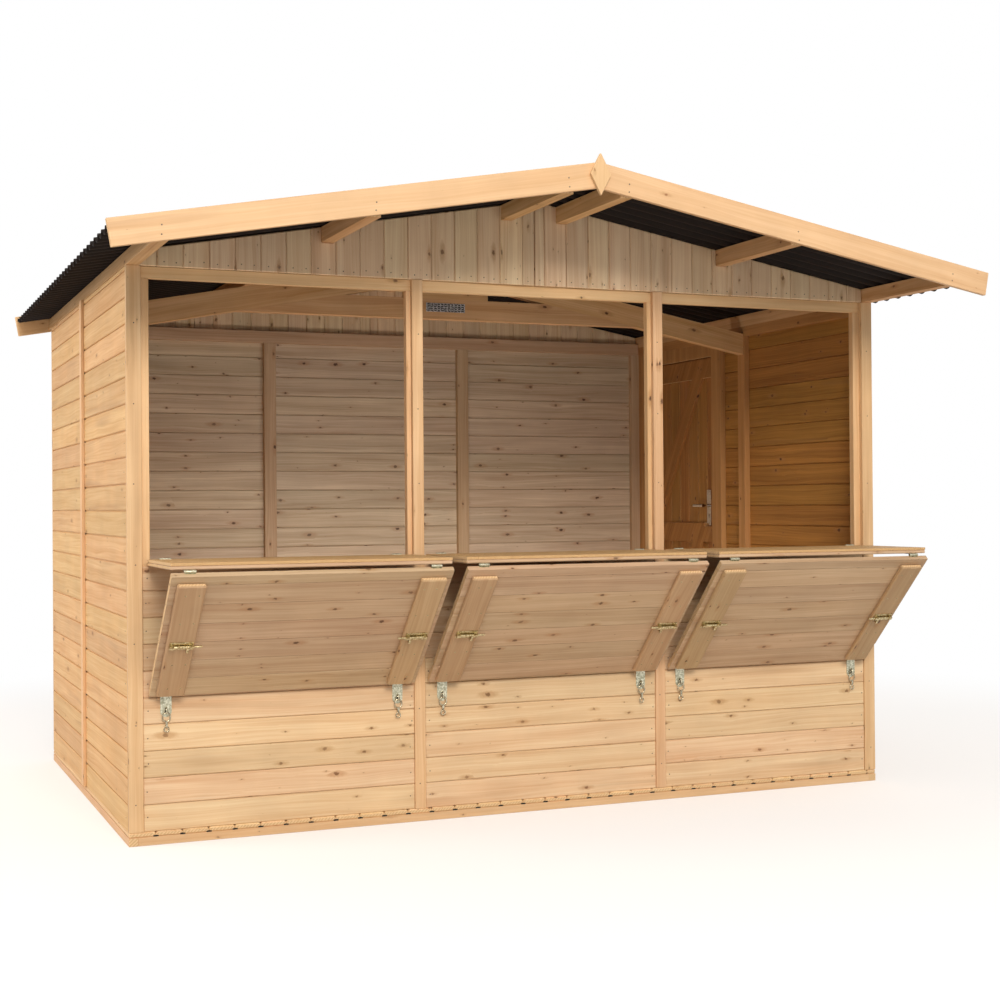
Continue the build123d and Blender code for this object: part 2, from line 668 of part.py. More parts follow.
# Door
DOOR_START = DOOR_OPENING_START + DOOR_CLEARANCE
DOOR_END = DOOR_OPENING_END - DOOR_CLEARANCE
DOOR_BOTTOM = FLOOR_TOP + DOOR_CLEARANCE
DOOR_TOP = DOOR_OPENING_TOP - DOOR_CLEARANCE
DOOR_HINGE_X = END + DOOR_HINGE_RADIUS
DOOR_HINGE_Y = DOOR_OPENING_END - DOOR_CLEARANCE / 2
HANDLE_Y = DOOR_START + HANDLE_INSET
HANDLE_HEIGHT = MIDDLE_LEDGE + LEDGE_HEIGHT + HANDLE_OVER_LEDGE
LEDGE_BOTTOMS = (LOW_LEDGE, MIDDLE_LEDGE, DOOR_OPENING_TOP - TOP_LEDGE_DROP)


def make_door():
    inside = SIDE_FRAME
    ledges = (inside - LEDGE_THICKNESS, inside)
    width = (DOOR_START + LEDGE_INSET, DOOR_END - LEDGE_INSET)
    spindle = Plane(origin=(inside - LEDGE_THICKNESS, HANDLE_Y, HANDLE_HEIGHT),
                    x_dir=(0, 1, 0), z_dir=(1, 0, 0))
    with BuildPart() as leaf:
        block((inside, END), (DOOR_START, DOOR_END), (DOOR_BOTTOM, DOOR_TOP))
        with BuildSketch(spindle) as hole:
            Circle(SPINDLE_RADIUS + SPINDLE_PLAY)
        extrude(hole.sketch, amount=LEDGE_THICKNESS + DOOR_BOARD, mode=Mode.SUBTRACT)
    save(leaf, "door_leaf")

    brace = LEDGE_HEIGHT
    with BuildPart() as ledges_and_braces:
        for bottom in LEDGE_BOTTOMS:
            block(ledges, width, (bottom, bottom + LEDGE_HEIGHT))
        beside_plate = HANDLE_Y + PLATE_WIDTH / 2 + PLATE_CLEARANCE
        under_plate = HANDLE_HEIGHT - PLATE_BELOW - PLATE_CLEARANCE
        block(ledges, (width[0], beside_plate), (under_plate, LEDGE_BOTTOMS[2]), mode=Mode.SUBTRACT)
        for low, high in zip(LEDGE_BOTTOMS, LEDGE_BOTTOMS[1:]):
            foot = low + LEDGE_HEIGHT
            with BuildSketch(Plane.YZ.offset(ledges[0])) as outline:
                with BuildLine():
                    Polyline((width[1], foot), (width[1] - brace, foot), (width[0] + brace, high),
                             (width[0] + 2 * brace, high), close=True)
                make_face()
            extrude(outline.sketch, amount=LEDGE_THICKNESS)
    save(ledges_and_braces, "door_ledges")

    plate = around(HANDLE_Y, PLATE_WIDTH)
    plate_height = (HANDLE_HEIGHT - PLATE_BELOW, HANDLE_HEIGHT + PLATE_ABOVE)
    with BuildPart() as plates:
        block((inside - PLATE_THICKNESS, inside), plate, plate_height)
        block((END, END + PLATE_THICKNESS), plate, plate_height)
        with BuildSketch(spindle.offset(-LEVER_REACH)) as bore:
            Circle(SPINDLE_RADIUS + SPINDLE_PLAY)
        extrude(bore.sketch, amount=2 * LEVER_REACH + LEDGE_THICKNESS + DOOR_BOARD, mode=Mode.SUBTRACT)
    save(plates, "door_handle_plates")

    inner_lever = inside - PLATE_THICKNESS - LEVER_REACH
    outer_lever = END + PLATE_THICKNESS + LEVER_REACH
    with BuildPart() as lever:
        rod(Plane(origin=(inner_lever, HANDLE_Y, HANDLE_HEIGHT), x_dir=(0, 1, 0), z_dir=(1, 0, 0)),
            SPINDLE_RADIUS, outer_lever - inner_lever)
        for x in (inner_lever, outer_lever):
            rod(Plane(origin=(x, HANDLE_Y - LEVER_RADIUS, HANDLE_HEIGHT), x_dir=(1, 0, 0), z_dir=(0, 1, 0)),
                LEVER_RADIUS, LEVER_LENGTH)
    save(lever, "door_lever")

    with BuildPart() as straps:
        for height in DOOR_HINGE_HEIGHTS:
            block((END, END + DOOR_STRAP), (DOOR_HINGE_Y - DOOR_STRAP_LENGTH, DOOR_HINGE_Y),
                  around(height, DOOR_STRAP_HEIGHT))
            rod(Plane.XY.offset(height - DOOR_HINGE_LENGTH / 2) * Location((DOOR_HINGE_X, DOOR_HINGE_Y, 0)),
                DOOR_HINGE_RADIUS, DOOR_HINGE_LENGTH)
    save(straps, "door_hinges")


os.makedirs("parts", exist_ok=True)
make_floor()
make_front()
make_gables()
make_rear_wall()
make_side_walls()
make_frames()
make_truss()
make_purlins()
make_roof()
make_bargeboards()
make_shutters()
make_door()
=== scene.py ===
import json
import math
import random
import bmesh
import bpy
from mathutils import Matrix, Vector


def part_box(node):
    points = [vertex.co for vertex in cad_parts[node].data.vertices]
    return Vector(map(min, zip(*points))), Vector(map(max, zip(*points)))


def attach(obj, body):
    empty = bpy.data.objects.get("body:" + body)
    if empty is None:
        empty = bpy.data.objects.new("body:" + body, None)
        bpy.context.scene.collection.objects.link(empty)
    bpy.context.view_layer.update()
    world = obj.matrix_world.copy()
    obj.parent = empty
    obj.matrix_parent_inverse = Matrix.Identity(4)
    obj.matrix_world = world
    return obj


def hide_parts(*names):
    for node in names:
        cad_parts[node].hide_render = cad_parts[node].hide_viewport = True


# Dressing of the wooden market stall, in metres, +Z up, front towards -Y.
# Its solids come sawn into their boards, with worked edges and grain laid along each.

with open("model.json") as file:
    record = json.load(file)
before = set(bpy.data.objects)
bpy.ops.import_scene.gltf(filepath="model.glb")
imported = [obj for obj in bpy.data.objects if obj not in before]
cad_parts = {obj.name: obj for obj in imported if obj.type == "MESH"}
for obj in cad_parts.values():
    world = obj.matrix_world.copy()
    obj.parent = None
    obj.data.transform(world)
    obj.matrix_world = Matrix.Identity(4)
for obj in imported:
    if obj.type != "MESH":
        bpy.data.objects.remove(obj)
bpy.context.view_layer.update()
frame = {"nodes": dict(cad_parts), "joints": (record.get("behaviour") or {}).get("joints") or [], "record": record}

# Joinery. A joint has a chamfer on its boards' edges, and a gap between them over the tongue.
COVER = 0.090               # width that one cladding board covers
V_JOINT = (0.0030, 0.0015)  # chamfer and gap
SIDE_V_JOINT = (0.0032, 0.0040)     # on the left wall, whose boards lie further apart
FLOOR_V_JOINT = (0.0042, 0.0021)
TONGUE_REACH = 0.004        # tongue on each side of the joint
TONGUE_SHARE = 0.22         # of the board's thickness
NARROWEST_BOARD = 0.008     # what is narrower stays part of its neighbour
GABLE_FIRST_JOINT = -0.860  # a joint of the upright gable boards
# a sliver of painted shade on the floor's end under each joint, where the groove's open end lies in shadow
FLOOR_HOLLOW_SHADE = (0.018, 0.0006, 0.0044)      # open end of the groove under a joint of the floor
FLOOR_HOLLOW_SHADE_RISE = 0.003   # its middle over the floor's underside

# Edges
SOFT_EDGE = 0.0014          # planed timber
SAWN_EDGE = 0.0008
STRAND_EDGE = 0.0005
BATTEN_EDGE = 0.004
END_GRAIN = 0.8             # a face is crosscut if its normal is this much along the grain
OUTWARDS = 0.3              # and is outside if its normal is this much out of the wall

# Nails and screws. Heads are given by their radius.
NAIL_HEAD = 0.0023
BARGE_NAIL_HEAD = 0.0027
NAIL_RISE = 0.0006
NAIL_STRAY = 0.004          # how far a nail may be off its line
APRON_NAIL_IN = 0.014       # from the sides of an apron
TRIM_NAIL_FIRST = 0.09      # over the floor
TRIM_NAIL_STEP = 0.27
SIDE_NAIL_IN = 0.03         # from the ends of a side wall
SIDE_STUD = -0.057          # middle of the side walls' middle studs
REAR_NAIL_IN = 0.02
REAR_JOINT_NAILS = (-0.535, -0.479, 0.446, 0.502)   # beside both joints of the rear panels
GABLE_NAIL_RISE = 0.018
GABLE_NAIL_SPREAD = 0.022   # on each side of a board's middle
BARGE_NAILS = (-0.012, 0.016)       # over the middle of the purlin
# thickness of the painted shade that stands for a screw's recess
RECESS_SHADE_THICKNESS = 0.0002
TAPER = 0.72                # radius of a head's top as a share of its foot's
LAST_NAIL = 0.03            # rows of nails stop this far from the ends of what they are in

# Flaps
BATTEN = 0.018              # thickness
BATTEN_ROWS = (0.075, 0.205, 0.405, 0.525)  # of screws, from the flap's hinge
BATTEN_ROW_SPREAD = 0.022
BATTEN_PAST_BOLT = 0.0045   # its middle is this much nearer to the flap's middle than the bolt's plate
BOLT_PLACE = 0.309          # middle of a bolt from the flap's hinge
BOLT_PLATE = 0.078          # length of its plate
BOLT_PLATE_THICKNESS = 0.002
BOLT_SCREWS = (0.031, 0.0125)       # along and across, from the plate's middle
# screws: radius and rise of the head, radius of the painted shade that stands for its recess
BOLT_SCREW = (0.0034, 0.0008, 0.00153)
BATTEN_SCREW = (0.0034, 0.0004, 0.0017)
HINGE_ZONE = 0.1            # ironwork nearer to the hinge than this is a hinge leaf

# Hasps
HASP_END = 0.019            # radius of a hasp's round end
HASP_THICKNESS = 0.002
HASP_SCREW = (0.0032, 0.0006, 0.0014)
HASP_SCREW_PLACE = (0.011, 0.012)   # from the hasp's middle, and under its top
STAPLE_RISE = 0.003         # middle of the staple over the middle of that end
# the staple's slot is a patch of painted shade
STAPLE_SLOT = (0.007, 0.0002, 0.015)
HOOK_OUT = 0.0055           # from the hasp to the eye of its snap hook
RING_OUT = 0.0025           # and from there to the hook's ring
# loops of a hook: drop under the staple, radius, what a long one has between its ends, radius of the wire
HOOK_EYE = (0.0020, 0.0062, 0, 0.0014)
HOOK_RING = (0.0215, 0.0132, 0.003, 0.0022)
HOOK_END = (0.0625, 0.0084, 0, 0.0020)
HOOK_SWIVEL = ((0.044, (0.0075, 0.006, 0.013)), (0.052, (0.0045, 0.0045, 0.006)))   # drops and sizes
RING_POINTS = 24
WIRE_SIDES = 8

# Roof
SLOPE = math.radians(10.15)
NAIL_PLATE = (0.176, 0.0012, 0.037)
NAIL_PLATE_PLACE = (-0.008, 0.0495) # its middle, and the rise of that over the foot of the truss's tie
HOLES = (11, 4)             # along and across the plate
HOLE_STEPS = (0.0155, 0.0088)
# a punched hole's patch of painted shade
HOLE_SIZE = (0.0105, 0.0002, 0.0042)
CAP_STEPS = (0.011, 0.0075) # radii of the two steps of a roofing nail's cap
CAP_STEP_RISE = 0.003
SHEET_NAIL_LINES = (0.8, 1.482)     # from the ridge, over purlins
SHEET_NAIL_SINK = 0.0005
CREST_DEPTH = 0.0004        # points this near to the sheet's highest are on a crest
CREST_APART = 0.05
RIDGE_NAIL_OUT = 0.1
RIDGE_NAIL_FIRST = 0.09
RIDGE_NAIL_STEP = 0.304
RIDGE_NAIL_SINK = 0.0003

# Door
KEY_RISE = 0.05             # over the foot of the handle's plate
# the keyhole's round and slot are drawn as painted shade
KEY_ROUND = 0.004
KEY_SLOT = (0.0002, 0.003, 0.012)
KEY_SLOT_DROP = 0.007
PLATE_SCREW = (0.0035, 0.0008)      # radius and rise
PLATE_SCREW_IN = 0.01
STRAP_THICKNESS = 0.003
STRAP_SCREWS = 4
STRAP_SCREW_FIRST = 0.03
STRAP_SCREW_STEP = 0.07
STRAP_SCREW = (0.0042, 0.001)       # radius and rise

# Ground and camera
GROUND_REACH = 60
GROUND_DROP = 0.0005        # under the stall's feet
CAMERA_PLACE = Vector((-2.395, -6.347, 1.135))
YAW = math.radians(22.78)   # turned from +Y towards +X
PITCH = math.radians(0.35)
ROLL = math.radians(-0.43)
LENS = 56.69                # mm
SENSOR = 36                 # mm
SHIFT_Y = -0.0044

X = Vector((1, 0, 0))
Y = Vector((0, 1, 0))
Z = Vector((0, 0, 1))
FLOOR_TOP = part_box("floor_boards")[1].z
chance = random.Random(7)


# ---------------------------------------------------------------- materials

def linear(code):
    """An sRGB hex colour as linear RGBA."""
    channels = [int(code[i:i + 2], 16) / 255 for i in (1, 3, 5)]
    return [c / 12.92 if c <= 0.04045 else ((c + 0.055) / 1.055) ** 2.4 for c in channels] + [1]


def add(tree, kind, sockets=None, **properties):
    """Add a node: properties are set on it, and a socket takes a value or a link."""
    node = tree.nodes.new(kind)
    for name, value in properties.items():
        setattr(node, name, value)
    for name, value in (sockets or {}).items():
        if isinstance(value, bpy.types.NodeSocket):
            tree.links.new(value, node.inputs[name])
        else:
            node.inputs[name].default_value = value
    return node


def maths(tree, operation, *values):
    """Sum, product and so on of numbers."""
    return add(tree, "ShaderNodeMath", dict(enumerate(values)), operation=operation).outputs["Value"]


def vectors(tree, operation, *values):
    """Sum, product and so on of vectors, number by number."""
    return add(tree, "ShaderNodeVectorMath", dict(enumerate(values)), operation=operation).outputs["Vector"]


def length(tree, vector):
    """Length of a vector."""
    return add(tree, "ShaderNodeVectorMath", {0: vector}, operation="LENGTH").outputs["Value"]


def long_noise(tree, grain, scale, detail, place=(0, 0, 0), roughness=0.5):
    """Noise drawn out along the grain; scale is in waves to the metre, along it and across it."""
    grain = add(tree, "ShaderNodeMapping", {"Vector": grain, "Scale": (*scale, 1), "Location": place})
    return add(tree, "ShaderNodeTexNoise", {"Vector": grain.outputs["Vector"], "Scale": 1.0, "Detail": detail,
                                            "Roughness": roughness})


def new_material(name):
    """An empty material with a shader; returns the material, its node tree and the shader."""
    material = bpy.data.materials.new(name)
    material.use_nodes = True
    tree = material.node_tree
    tree.nodes.clear()
    shader = add(tree, "ShaderNodeBsdfPrincipled")
    add(tree, "ShaderNodeOutputMaterial", {"Surface": shader.outputs["BSDF"]})
    return material, tree, shader


def ramp(tree, factor, stops):
    """A colour ramp through hex colours or grey levels at their places."""
    node = add(tree, "ShaderNodeValToRGB", {"Fac": factor})
    elements = node.color_ramp.elements
    while len(elements) < len(stops):
        elements.new(0.5)
    for element, (place, colour) in zip(elements, stops):
        element.position = place
        element.color = linear(colour) if isinstance(colour, str) else [colour] * 3 + [1]
    return node.outputs["Color"]


def spruce(name, pale, dark, knot="#56361D", knot_share=0.7, rough=0.62, grey=0.0):
    """Planed spruce, unfinished: pale early wood and darker late wood in lines along the board,
    which flow round small brown knots, and no two boards of one tone. Matt, with a faint sheen."""
    material, tree, shader = new_material(name)
    grain = add(tree, "ShaderNodeUVMap", uv_map="grain").outputs["UV"]
    own = add(tree, "ShaderNodeUVMap", uv_map="board").outputs["UV"]
    own = add(tree, "ShaderNodeSeparateXYZ", {"Vector": own})

    # knots: one place in each 150 mm by 45 mm of board, some of them bare, up to 7.5 mm in radius
    cell = (0.15, 0.045, 1)
    places = vectors(tree, "DIVIDE", grain, cell)
    cells = add(tree, "ShaderNodeTexVoronoi", {"Vector": places, "Scale": 1.0}, voronoi_dimensions="2D")
    away = vectors(tree, "MULTIPLY", vectors(tree, "SUBTRACT", places, cells.outputs["Position"]), cell)
    # their outline is uneven by a few millimetres, and longer along the grain than across
    ragged = add(tree, "ShaderNodeTexNoise", {"Vector": grain, "Scale": 110.0, "Detail": 1.0})
    ragged = vectors(tree, "SUBTRACT", ragged.outputs["Color"], (0.5, 0.5, 0.5))
    ragged = vectors(tree, "MULTIPLY", ragged, (0.011, 0.008, 0))
    uneven = vectors(tree, "MULTIPLY", vectors(tree, "ADD", away, ragged), (0.7, 1.1, 0))
    away_length = length(tree, uneven)
    luck = add(tree, "ShaderNodeSeparateColor", {"Color": cells.outputs["Color"]})
    size = add(tree, "ShaderNodeMapRange", {"Value": luck.outputs["Red"], "From Min": 1 - knot_share,
                                            "From Max": 1.0, "To Min": 0.0, "To Max": 1.0}).outputs["Result"]
    # small knots are commoner than large ones
    size = maths(tree, "MULTIPLY", maths(tree, "POWER", size, 1.8), 0.0075)

    # grain is pushed aside round a knot, less and less further out
    swell = maths(tree, "DIVIDE", size, maths(tree, "ADD", away_length, 0.006))
    swell = maths(tree, "MULTIPLY", swell, 0.9)
    push = add(tree, "ShaderNodeVectorMath", {0: away, "Scale": swell}, operation="SCALE")
    flow = vectors(tree, "SUBTRACT", grain, push.outputs["Vector"])
    # growth rings wander off the board's line over about 0.6 m
    wander = long_noise(tree, grain, (1.6, 8), 2.0).outputs["Color"]
    flow = vectors(tree, "ADD", flow, vectors(tree, "MULTIPLY", wander, (0, 0.045, 0)))
    # rings are 2 to 4 mm apart on such timber; drawn about 6 mm apart so that they show
    rings = long_noise(tree, flow, (1.8, 165), 3.0, roughness=0.6).outputs["Fac"]
    # broad streaks of heartwood, 30 mm across and most of a metre long
    streaks = long_noise(tree, flow, (1.3, 32), 1.5).outputs["Fac"]
    tone = maths(tree, "MULTIPLY_ADD", streaks, 0.5, maths(tree, "MULTIPLY", rings, 0.5))
    wood = ramp(tree, tone, [(0.33, pale), (0.67, dark)])
    # here and there a brown streak where the board touched the heart
    heart = long_noise(tree, flow, (0.9, 17), 2.0, (7, 3, 0)).outputs["Fac"]
    heart = add(tree, "ShaderNodeMapRange", {"Value": heart, "From Min": 0.6, "From Max": 0.78,
                                             "To Max": 0.5}).outputs["Result"]
    wood = add(tree, "ShaderNodeMixRGB", {"Fac": heart, "Color1": wood,
                                          "Color2": linear("#A87B52")}).outputs["Color"]

    # a knot's own dark wood, its rim soft over 3.7 mm, some of the knots paler than others
    core = maths(tree, "SUBTRACT", size, away_length)
    core = add(tree, "ShaderNodeMapRange", {"Value": core, "From Min": -0.0012, "From Max": 0.0025})
    depth = add(tree, "ShaderNodeMapRange", {"Value": luck.outputs["Green"], "To Min": 0.6, "To Max": 1.0})
    core = maths(tree, "MULTIPLY", core.outputs["Result"], depth.outputs["Result"])
    # a warm stain round each knot, drawn out along the grain
    stain = length(tree, vectors(tree, "MULTIPLY", uneven, (0.45, 1.0, 0)))
    ring = maths(tree, "SUBTRACT", maths(tree, "MULTIPLY", size, 2.2), stain)
    ring = add(tree, "ShaderNodeMapRange", {"Value": ring, "From Min": 0.0, "From Max": 0.008,
                                            "To Max": 0.5}).outputs["Result"]
    halo = add(tree, "ShaderNodeMixRGB", {"Fac": ring, "Color1": wood, "Color2": linear("#AE7C4A")})
    knotted = add(tree, "ShaderNodeMixRGB", {"Fac": core, "Color1": halo.outputs["Color"],
                                             "Color2": linear(knot)}).outputs["Color"]

    # each board has its own lightness and warmth, and a handled patch every 0.4 m or so
    light = add(tree, "ShaderNodeMapRange", {"Value": own.outputs["X"], "To Min": 0.9, "To Max": 1.05})
    hue = add(tree, "ShaderNodeMapRange", {"Value": own.outputs["Y"], "To Min": 0.494, "To Max": 0.506})
    patch = add(tree, "ShaderNodeTexNoise", {"Vector": grain, "Scale": 5.0, "Detail": 3.0}).outputs["Fac"]
    patch = add(tree, "ShaderNodeMapRange", {"Value": patch, "From Min": 0.3, "From Max": 0.7, "To Min": 0.94,
                                             "To Max": 1.05}).outputs["Result"]
    light = maths(tree, "MULTIPLY", light.outputs["Result"], patch)
    colour = add(tree, "ShaderNodeHueSaturation", {"Color": knotted, "Value": light, "Saturation": 1.0 - grey,
                                                   "Hue": hue.outputs["Result"]})
    tree.links.new(colour.outputs["Color"], shader.inputs["Base Color"])
    sheen = add(tree, "ShaderNodeMapRange", {"Value": rings, "To Min": rough - 0.1, "To Max": rough + 0.12})
    tree.links.new(sheen.outputs["Result"], shader.inputs["Roughness"])
    relief = add(tree, "ShaderNodeBump", {"Height": tone, "Strength": 0.3, "Distance": 0.0008})
    tree.links.new(relief.outputs["Normal"], shader.inputs["Normal"])
    shader.inputs["IOR"].default_value = 1.5
    return material


def spruce_end(name, pale, dark):
    """Crosscut end of a spruce board: darker and drier than its face, with curved rings."""
    material, tree, shader = new_material(name)
    grain = add(tree, "ShaderNodeUVMap", uv_map="grain").outputs["UV"]
    # rings 4 mm apart, bent round a heart some way off the board
    rings = add(tree, "ShaderNodeTexWave", {"Vector": grain, "Scale": 38.0, "Distortion": 3.0, "Detail": 2.0,
                                            "Detail Scale": 0.7}, wave_type="RINGS")
    colour = ramp(tree, rings.outputs["Fac"], [(0.1, pale), (0.9, dark)])
    tree.links.new(colour, shader.inputs["Base Color"])
    shader.inputs["Roughness"].default_value = 0.85
    return material


def strand_board():
    """Pressed strand board: flat softwood strands up to 80 mm long, laid every way and glued,
    so the face is a patchwork of pale and brown flakes with dark gaps between some of them."""
    material, tree, shader = new_material("pressed_strand_board")
    grain = add(tree, "ShaderNodeUVMap", uv_map="grain").outputs["UV"]
    # strands turn another way every 110 mm or so
    turn = add(tree, "ShaderNodeTexNoise", {"Vector": grain, "Scale": 9.0, "Detail": 1.0})
    turn = maths(tree, "MULTIPLY", turn.outputs["Fac"], 9.0)
    # strands of 55 mm by 16 mm, and over them strands of 38 mm by 12 mm that lie at an angle to them
    layers = []
    for long, wide, start in ((0.055, 0.016, 0.0), (0.038, 0.012, 1.3)):
        angle = maths(tree, "ADD", turn, start)
        way = add(tree, "ShaderNodeVectorRotate", {"Vector": grain, "Angle": angle}, rotation_type="Z_AXIS")
        flake = vectors(tree, "DIVIDE", way.outputs["Vector"], (long, wide, 1))
        layers.append(add(tree, "ShaderNodeTexVoronoi", {"Vector": flake, "Scale": 1.0},
                          voronoi_dimensions="2D", distance="CHEBYCHEV"))
    tones = [add(tree, "ShaderNodeSeparateColor", {"Color": layer.outputs["Color"]}) for layer in layers]
    over = maths(tree, "GREATER_THAN", tones[1].outputs["Green"], 0.55)
    lower = ramp(tree, tones[0].outputs["Red"], [(0.0, "#A87642"), (0.45, "#CDA069"), (1.0, "#E2BE88")])
    upper = ramp(tree, tones[1].outputs["Red"], [(0.0, "#B98850"), (0.5, "#D9B27A"), (1.0, "#E9CB98")])
    flakes = add(tree, "ShaderNodeMixRGB", {"Fac": over, "Color1": lower, "Color2": upper})
    # dark at the ends and corners of the lower strands
    gaps = ramp(tree, layers[0].outputs["Distance"], [(0.42, 1.0), (0.62, 0.62)])
    colour = add(tree, "ShaderNodeMixRGB", {"Fac": 1.0, "Color1": flakes.outputs["Color"], "Color2": gaps},
                 blend_type="MULTIPLY")
    tree.links.new(colour.outputs["Color"], shader.inputs["Base Color"])
    shader.inputs["Roughness"].default_value = 0.6
    relief = add(tree, "ShaderNodeBump", {"Height": layers[0].outputs["Distance"], "Strength": 0.3,
                                          "Distance": 0.0008})
    tree.links.new(relief.outputs["Normal"], shader.inputs["Normal"])
    return material


def bitumen_sheet():
    """Corrugated sheet of bitumen-soaked fibre: nearly black brown, dull, with a felted surface."""
    material, tree, shader = new_material("corrugated_bitumen_fibre")
    place = add(tree, "ShaderNodeTexCoord").outputs["Object"]
    # fibre clumps about 4 mm across, and patches of 150 mm where the surface has dried paler
    felt = add(tree, "ShaderNodeTexNoise", {"Vector": place, "Scale": 250.0, "Detail": 3.0})
    patches = add(tree, "ShaderNodeTexNoise", {"Vector": place, "Scale": 7.0, "Detail": 2.0})
    mixed = maths(tree, "MULTIPLY", felt.outputs["Fac"], 0.5)
    mixed = maths(tree, "MULTIPLY_ADD", patches.outputs["Fac"], 0.5, mixed)
    colour = ramp(tree, mixed, [(0.3, "#130E0B"), (0.7, "#231A16")])
    tree.links.new(colour, shader.inputs["Base Color"])
    shader.inputs["Roughness"].default_value = 0.8
    shader.inputs["Specular IOR Level"].default_value = 0.2
    relief = add(tree, "ShaderNodeBump", {"Height": felt.outputs["Fac"], "Strength": 0.4, "Distance": 0.0006})
    tree.links.new(relief.outputs["Normal"], shader.inputs["Normal"])
    return material


def plated_steel(name, pale, dark, rough):
    """Pressed steel with a zinc coat: metallic, softly mottled by the passivation bath."""
    material, tree, shader = new_material(name)
    place = add(tree, "ShaderNodeTexCoord").outputs["Object"]
    # mottling 6 mm across
    mottle = add(tree, "ShaderNodeTexNoise", {"Vector": place, "Scale": 160.0, "Detail": 2.0})
    colour = ramp(tree, mottle.outputs["Fac"], [(0.35, pale), (0.65, dark)])
    tree.links.new(colour, shader.inputs["Base Color"])
    shader.inputs["Metallic"].default_value = 1.0
    shader.inputs["Roughness"].default_value = rough
    relief = add(tree, "ShaderNodeBump", {"Height": mottle.outputs["Fac"], "Strength": 0.1,
                                          "Distance": 0.0003})
    tree.links.new(relief.outputs["Normal"], shader.inputs["Normal"])
    return material


def shadow_hole():
    """Painted shade: a near-black patch that stands for the shade inside a small punched hole, slot or recess."""
    material, tree, shader = new_material("painted_hole_shade")
    place = add(tree, "ShaderNodeTexCoord").outputs["Object"]
    speck = add(tree, "ShaderNodeTexNoise", {"Vector": place, "Scale": 400.0})
    colour = ramp(tree, speck.outputs["Fac"], [(0.3, "#0E0B08"), (0.7, "#1C1510")])
    tree.links.new(colour, shader.inputs["Base Color"])
    shader.inputs["Roughness"].default_value = 0.9
    return material


CLADDING = spruce("spruce_cladding_planed", "#E6CAA2", "#D1A87D", knot="#7A5430", knot_share=0.62)
SIDE_CLADDING = spruce("spruce_side_cladding_planed", "#E6BF88", "#D09F64", knot="#93622F", knot_share=0.2)
# painted shade: a darker, greyer copy of the cladding for the rear wall's inside, standing in for the dim cool
# light there
REAR_CLADDING_PAINTED_SHADE = spruce("spruce_rear_cladding_painted_shade", "#DCC5A3", "#B4936D", grey=0.16)
# painted shade: a darker, warmer copy of the side cladding for the right wall's inside, standing in for the dim
# warm light there
DOOR_SIDE_CLADDING_PAINTED_SHADE = spruce("spruce_door_side_cladding_painted_shade", "#BE873F", "#8F5F27", knot_share=0.4)
# painted light: a paler copy of the cladding for the gables, lifting the shade they stand in under the roof's
# overhang
GABLE_CLADDING_PAINTED_LIGHT = spruce("spruce_gable_cladding_painted_light", "#F0D7B2", "#D6B188", knot="#6B4828", grey=0.02)
SHUTTER = spruce("spruce_shutter_planed", "#D2B48F", "#B7926B", knot="#644325", knot_share=0.62, grey=0.04)
BATTEN_WOOD = spruce("spruce_batten_planed", "#C6A67E", "#B28D64", knot_share=0.35)
# painted shade: a darker, greyer copy for the framing inside the rear wall
REAR_FRAMING_PAINTED_SHADE = spruce("spruce_rear_framing_painted_shade", "#CFAE88", "#B08A62", knot_share=0.35, grey=0.08)
# painted shade: a darker, warmer copy for the studs, plates and door frame inside the walls
DOOR_SIDE_FRAMING_PAINTED_SHADE = spruce("spruce_door_side_framing_painted_shade", "#C4915A", "#A5733E", knot_share=0.35)
FRAMING = spruce("spruce_framing_planed", "#EBC79A", "#D8AB7A", knot_share=0.3)
BARGE = spruce("spruce_bargeboard_planed", "#E9C598", "#DAB080", knot="#9A6A40", knot_share=0.2)
ROOFING = spruce("spruce_roof_timber_sawn", "#DFB888", "#C2925B", knot_share=0.3, rough=0.75)
FLOORING = spruce("spruce_floor_planed", "#EFCFA0", "#D8AD78", knot_share=0.3)
# painted shade: a darker, warmer copy of the wood for the door's inside and its ledges
DOOR_PAINTED_SHADE = spruce("spruce_door_painted_shade", "#B57F42", "#8F5E2A")
CROSSCUT = spruce_end("spruce_crosscut_end", "#E0C094", "#CBA777")
STRANDS = strand_board()
BITUMEN = bitumen_sheet()
YELLOW_ZINC = plated_steel("steel_yellow_zinc", "#D8C9A0", "#937F57", 0.3)
BRIGHT_ZINC = plated_steel("steel_bright_zinc", "#D6D3BC", "#9B9880", 0.38)
# the galvanised coat's spangle, its mottling stretched from near white to dark grey: the real spangle plus painted
# glints and painted shade
SPANGLED_PAINTED_GLINTS = plated_steel("steel_galvanised_spangled_painted_glints", "#EDEEEC", "#6F7173", 0.42)
NICKEL = plated_steel("steel_nickel_plated", "#CFC7AE", "#8B806A", 0.24)
CHROME = plated_steel("steel_chrome_plated", "#E8E8E6", "#CFCFCD", 0.12)
NAIL_CAP = plated_steel("nail_cap_black_lacquered", "#1C1816", "#2A2422", 0.5)
NAIL = plated_steel("steel_nail_dull", "#8A7B6C", "#5F5348", 0.5)
# painted shade for the insides of holes, slots, recesses and hollows
HOLE_SHADE = shadow_hole()


# ---------------------------------------------------------------- sawing and dressing

def solids(name):
    """The closed solids of a CAD node, each as a mesh of its own."""
    whole = bmesh.new()
    whole.from_mesh(frame["nodes"][name].data)
    bmesh.ops.remove_doubles(whole, verts=whole.verts, dist=1e-5)
    bmesh.ops.dissolve_limit(whole, angle_limit=0.01, verts=whole.verts, edges=whole.edges)
    return take_apart(whole)


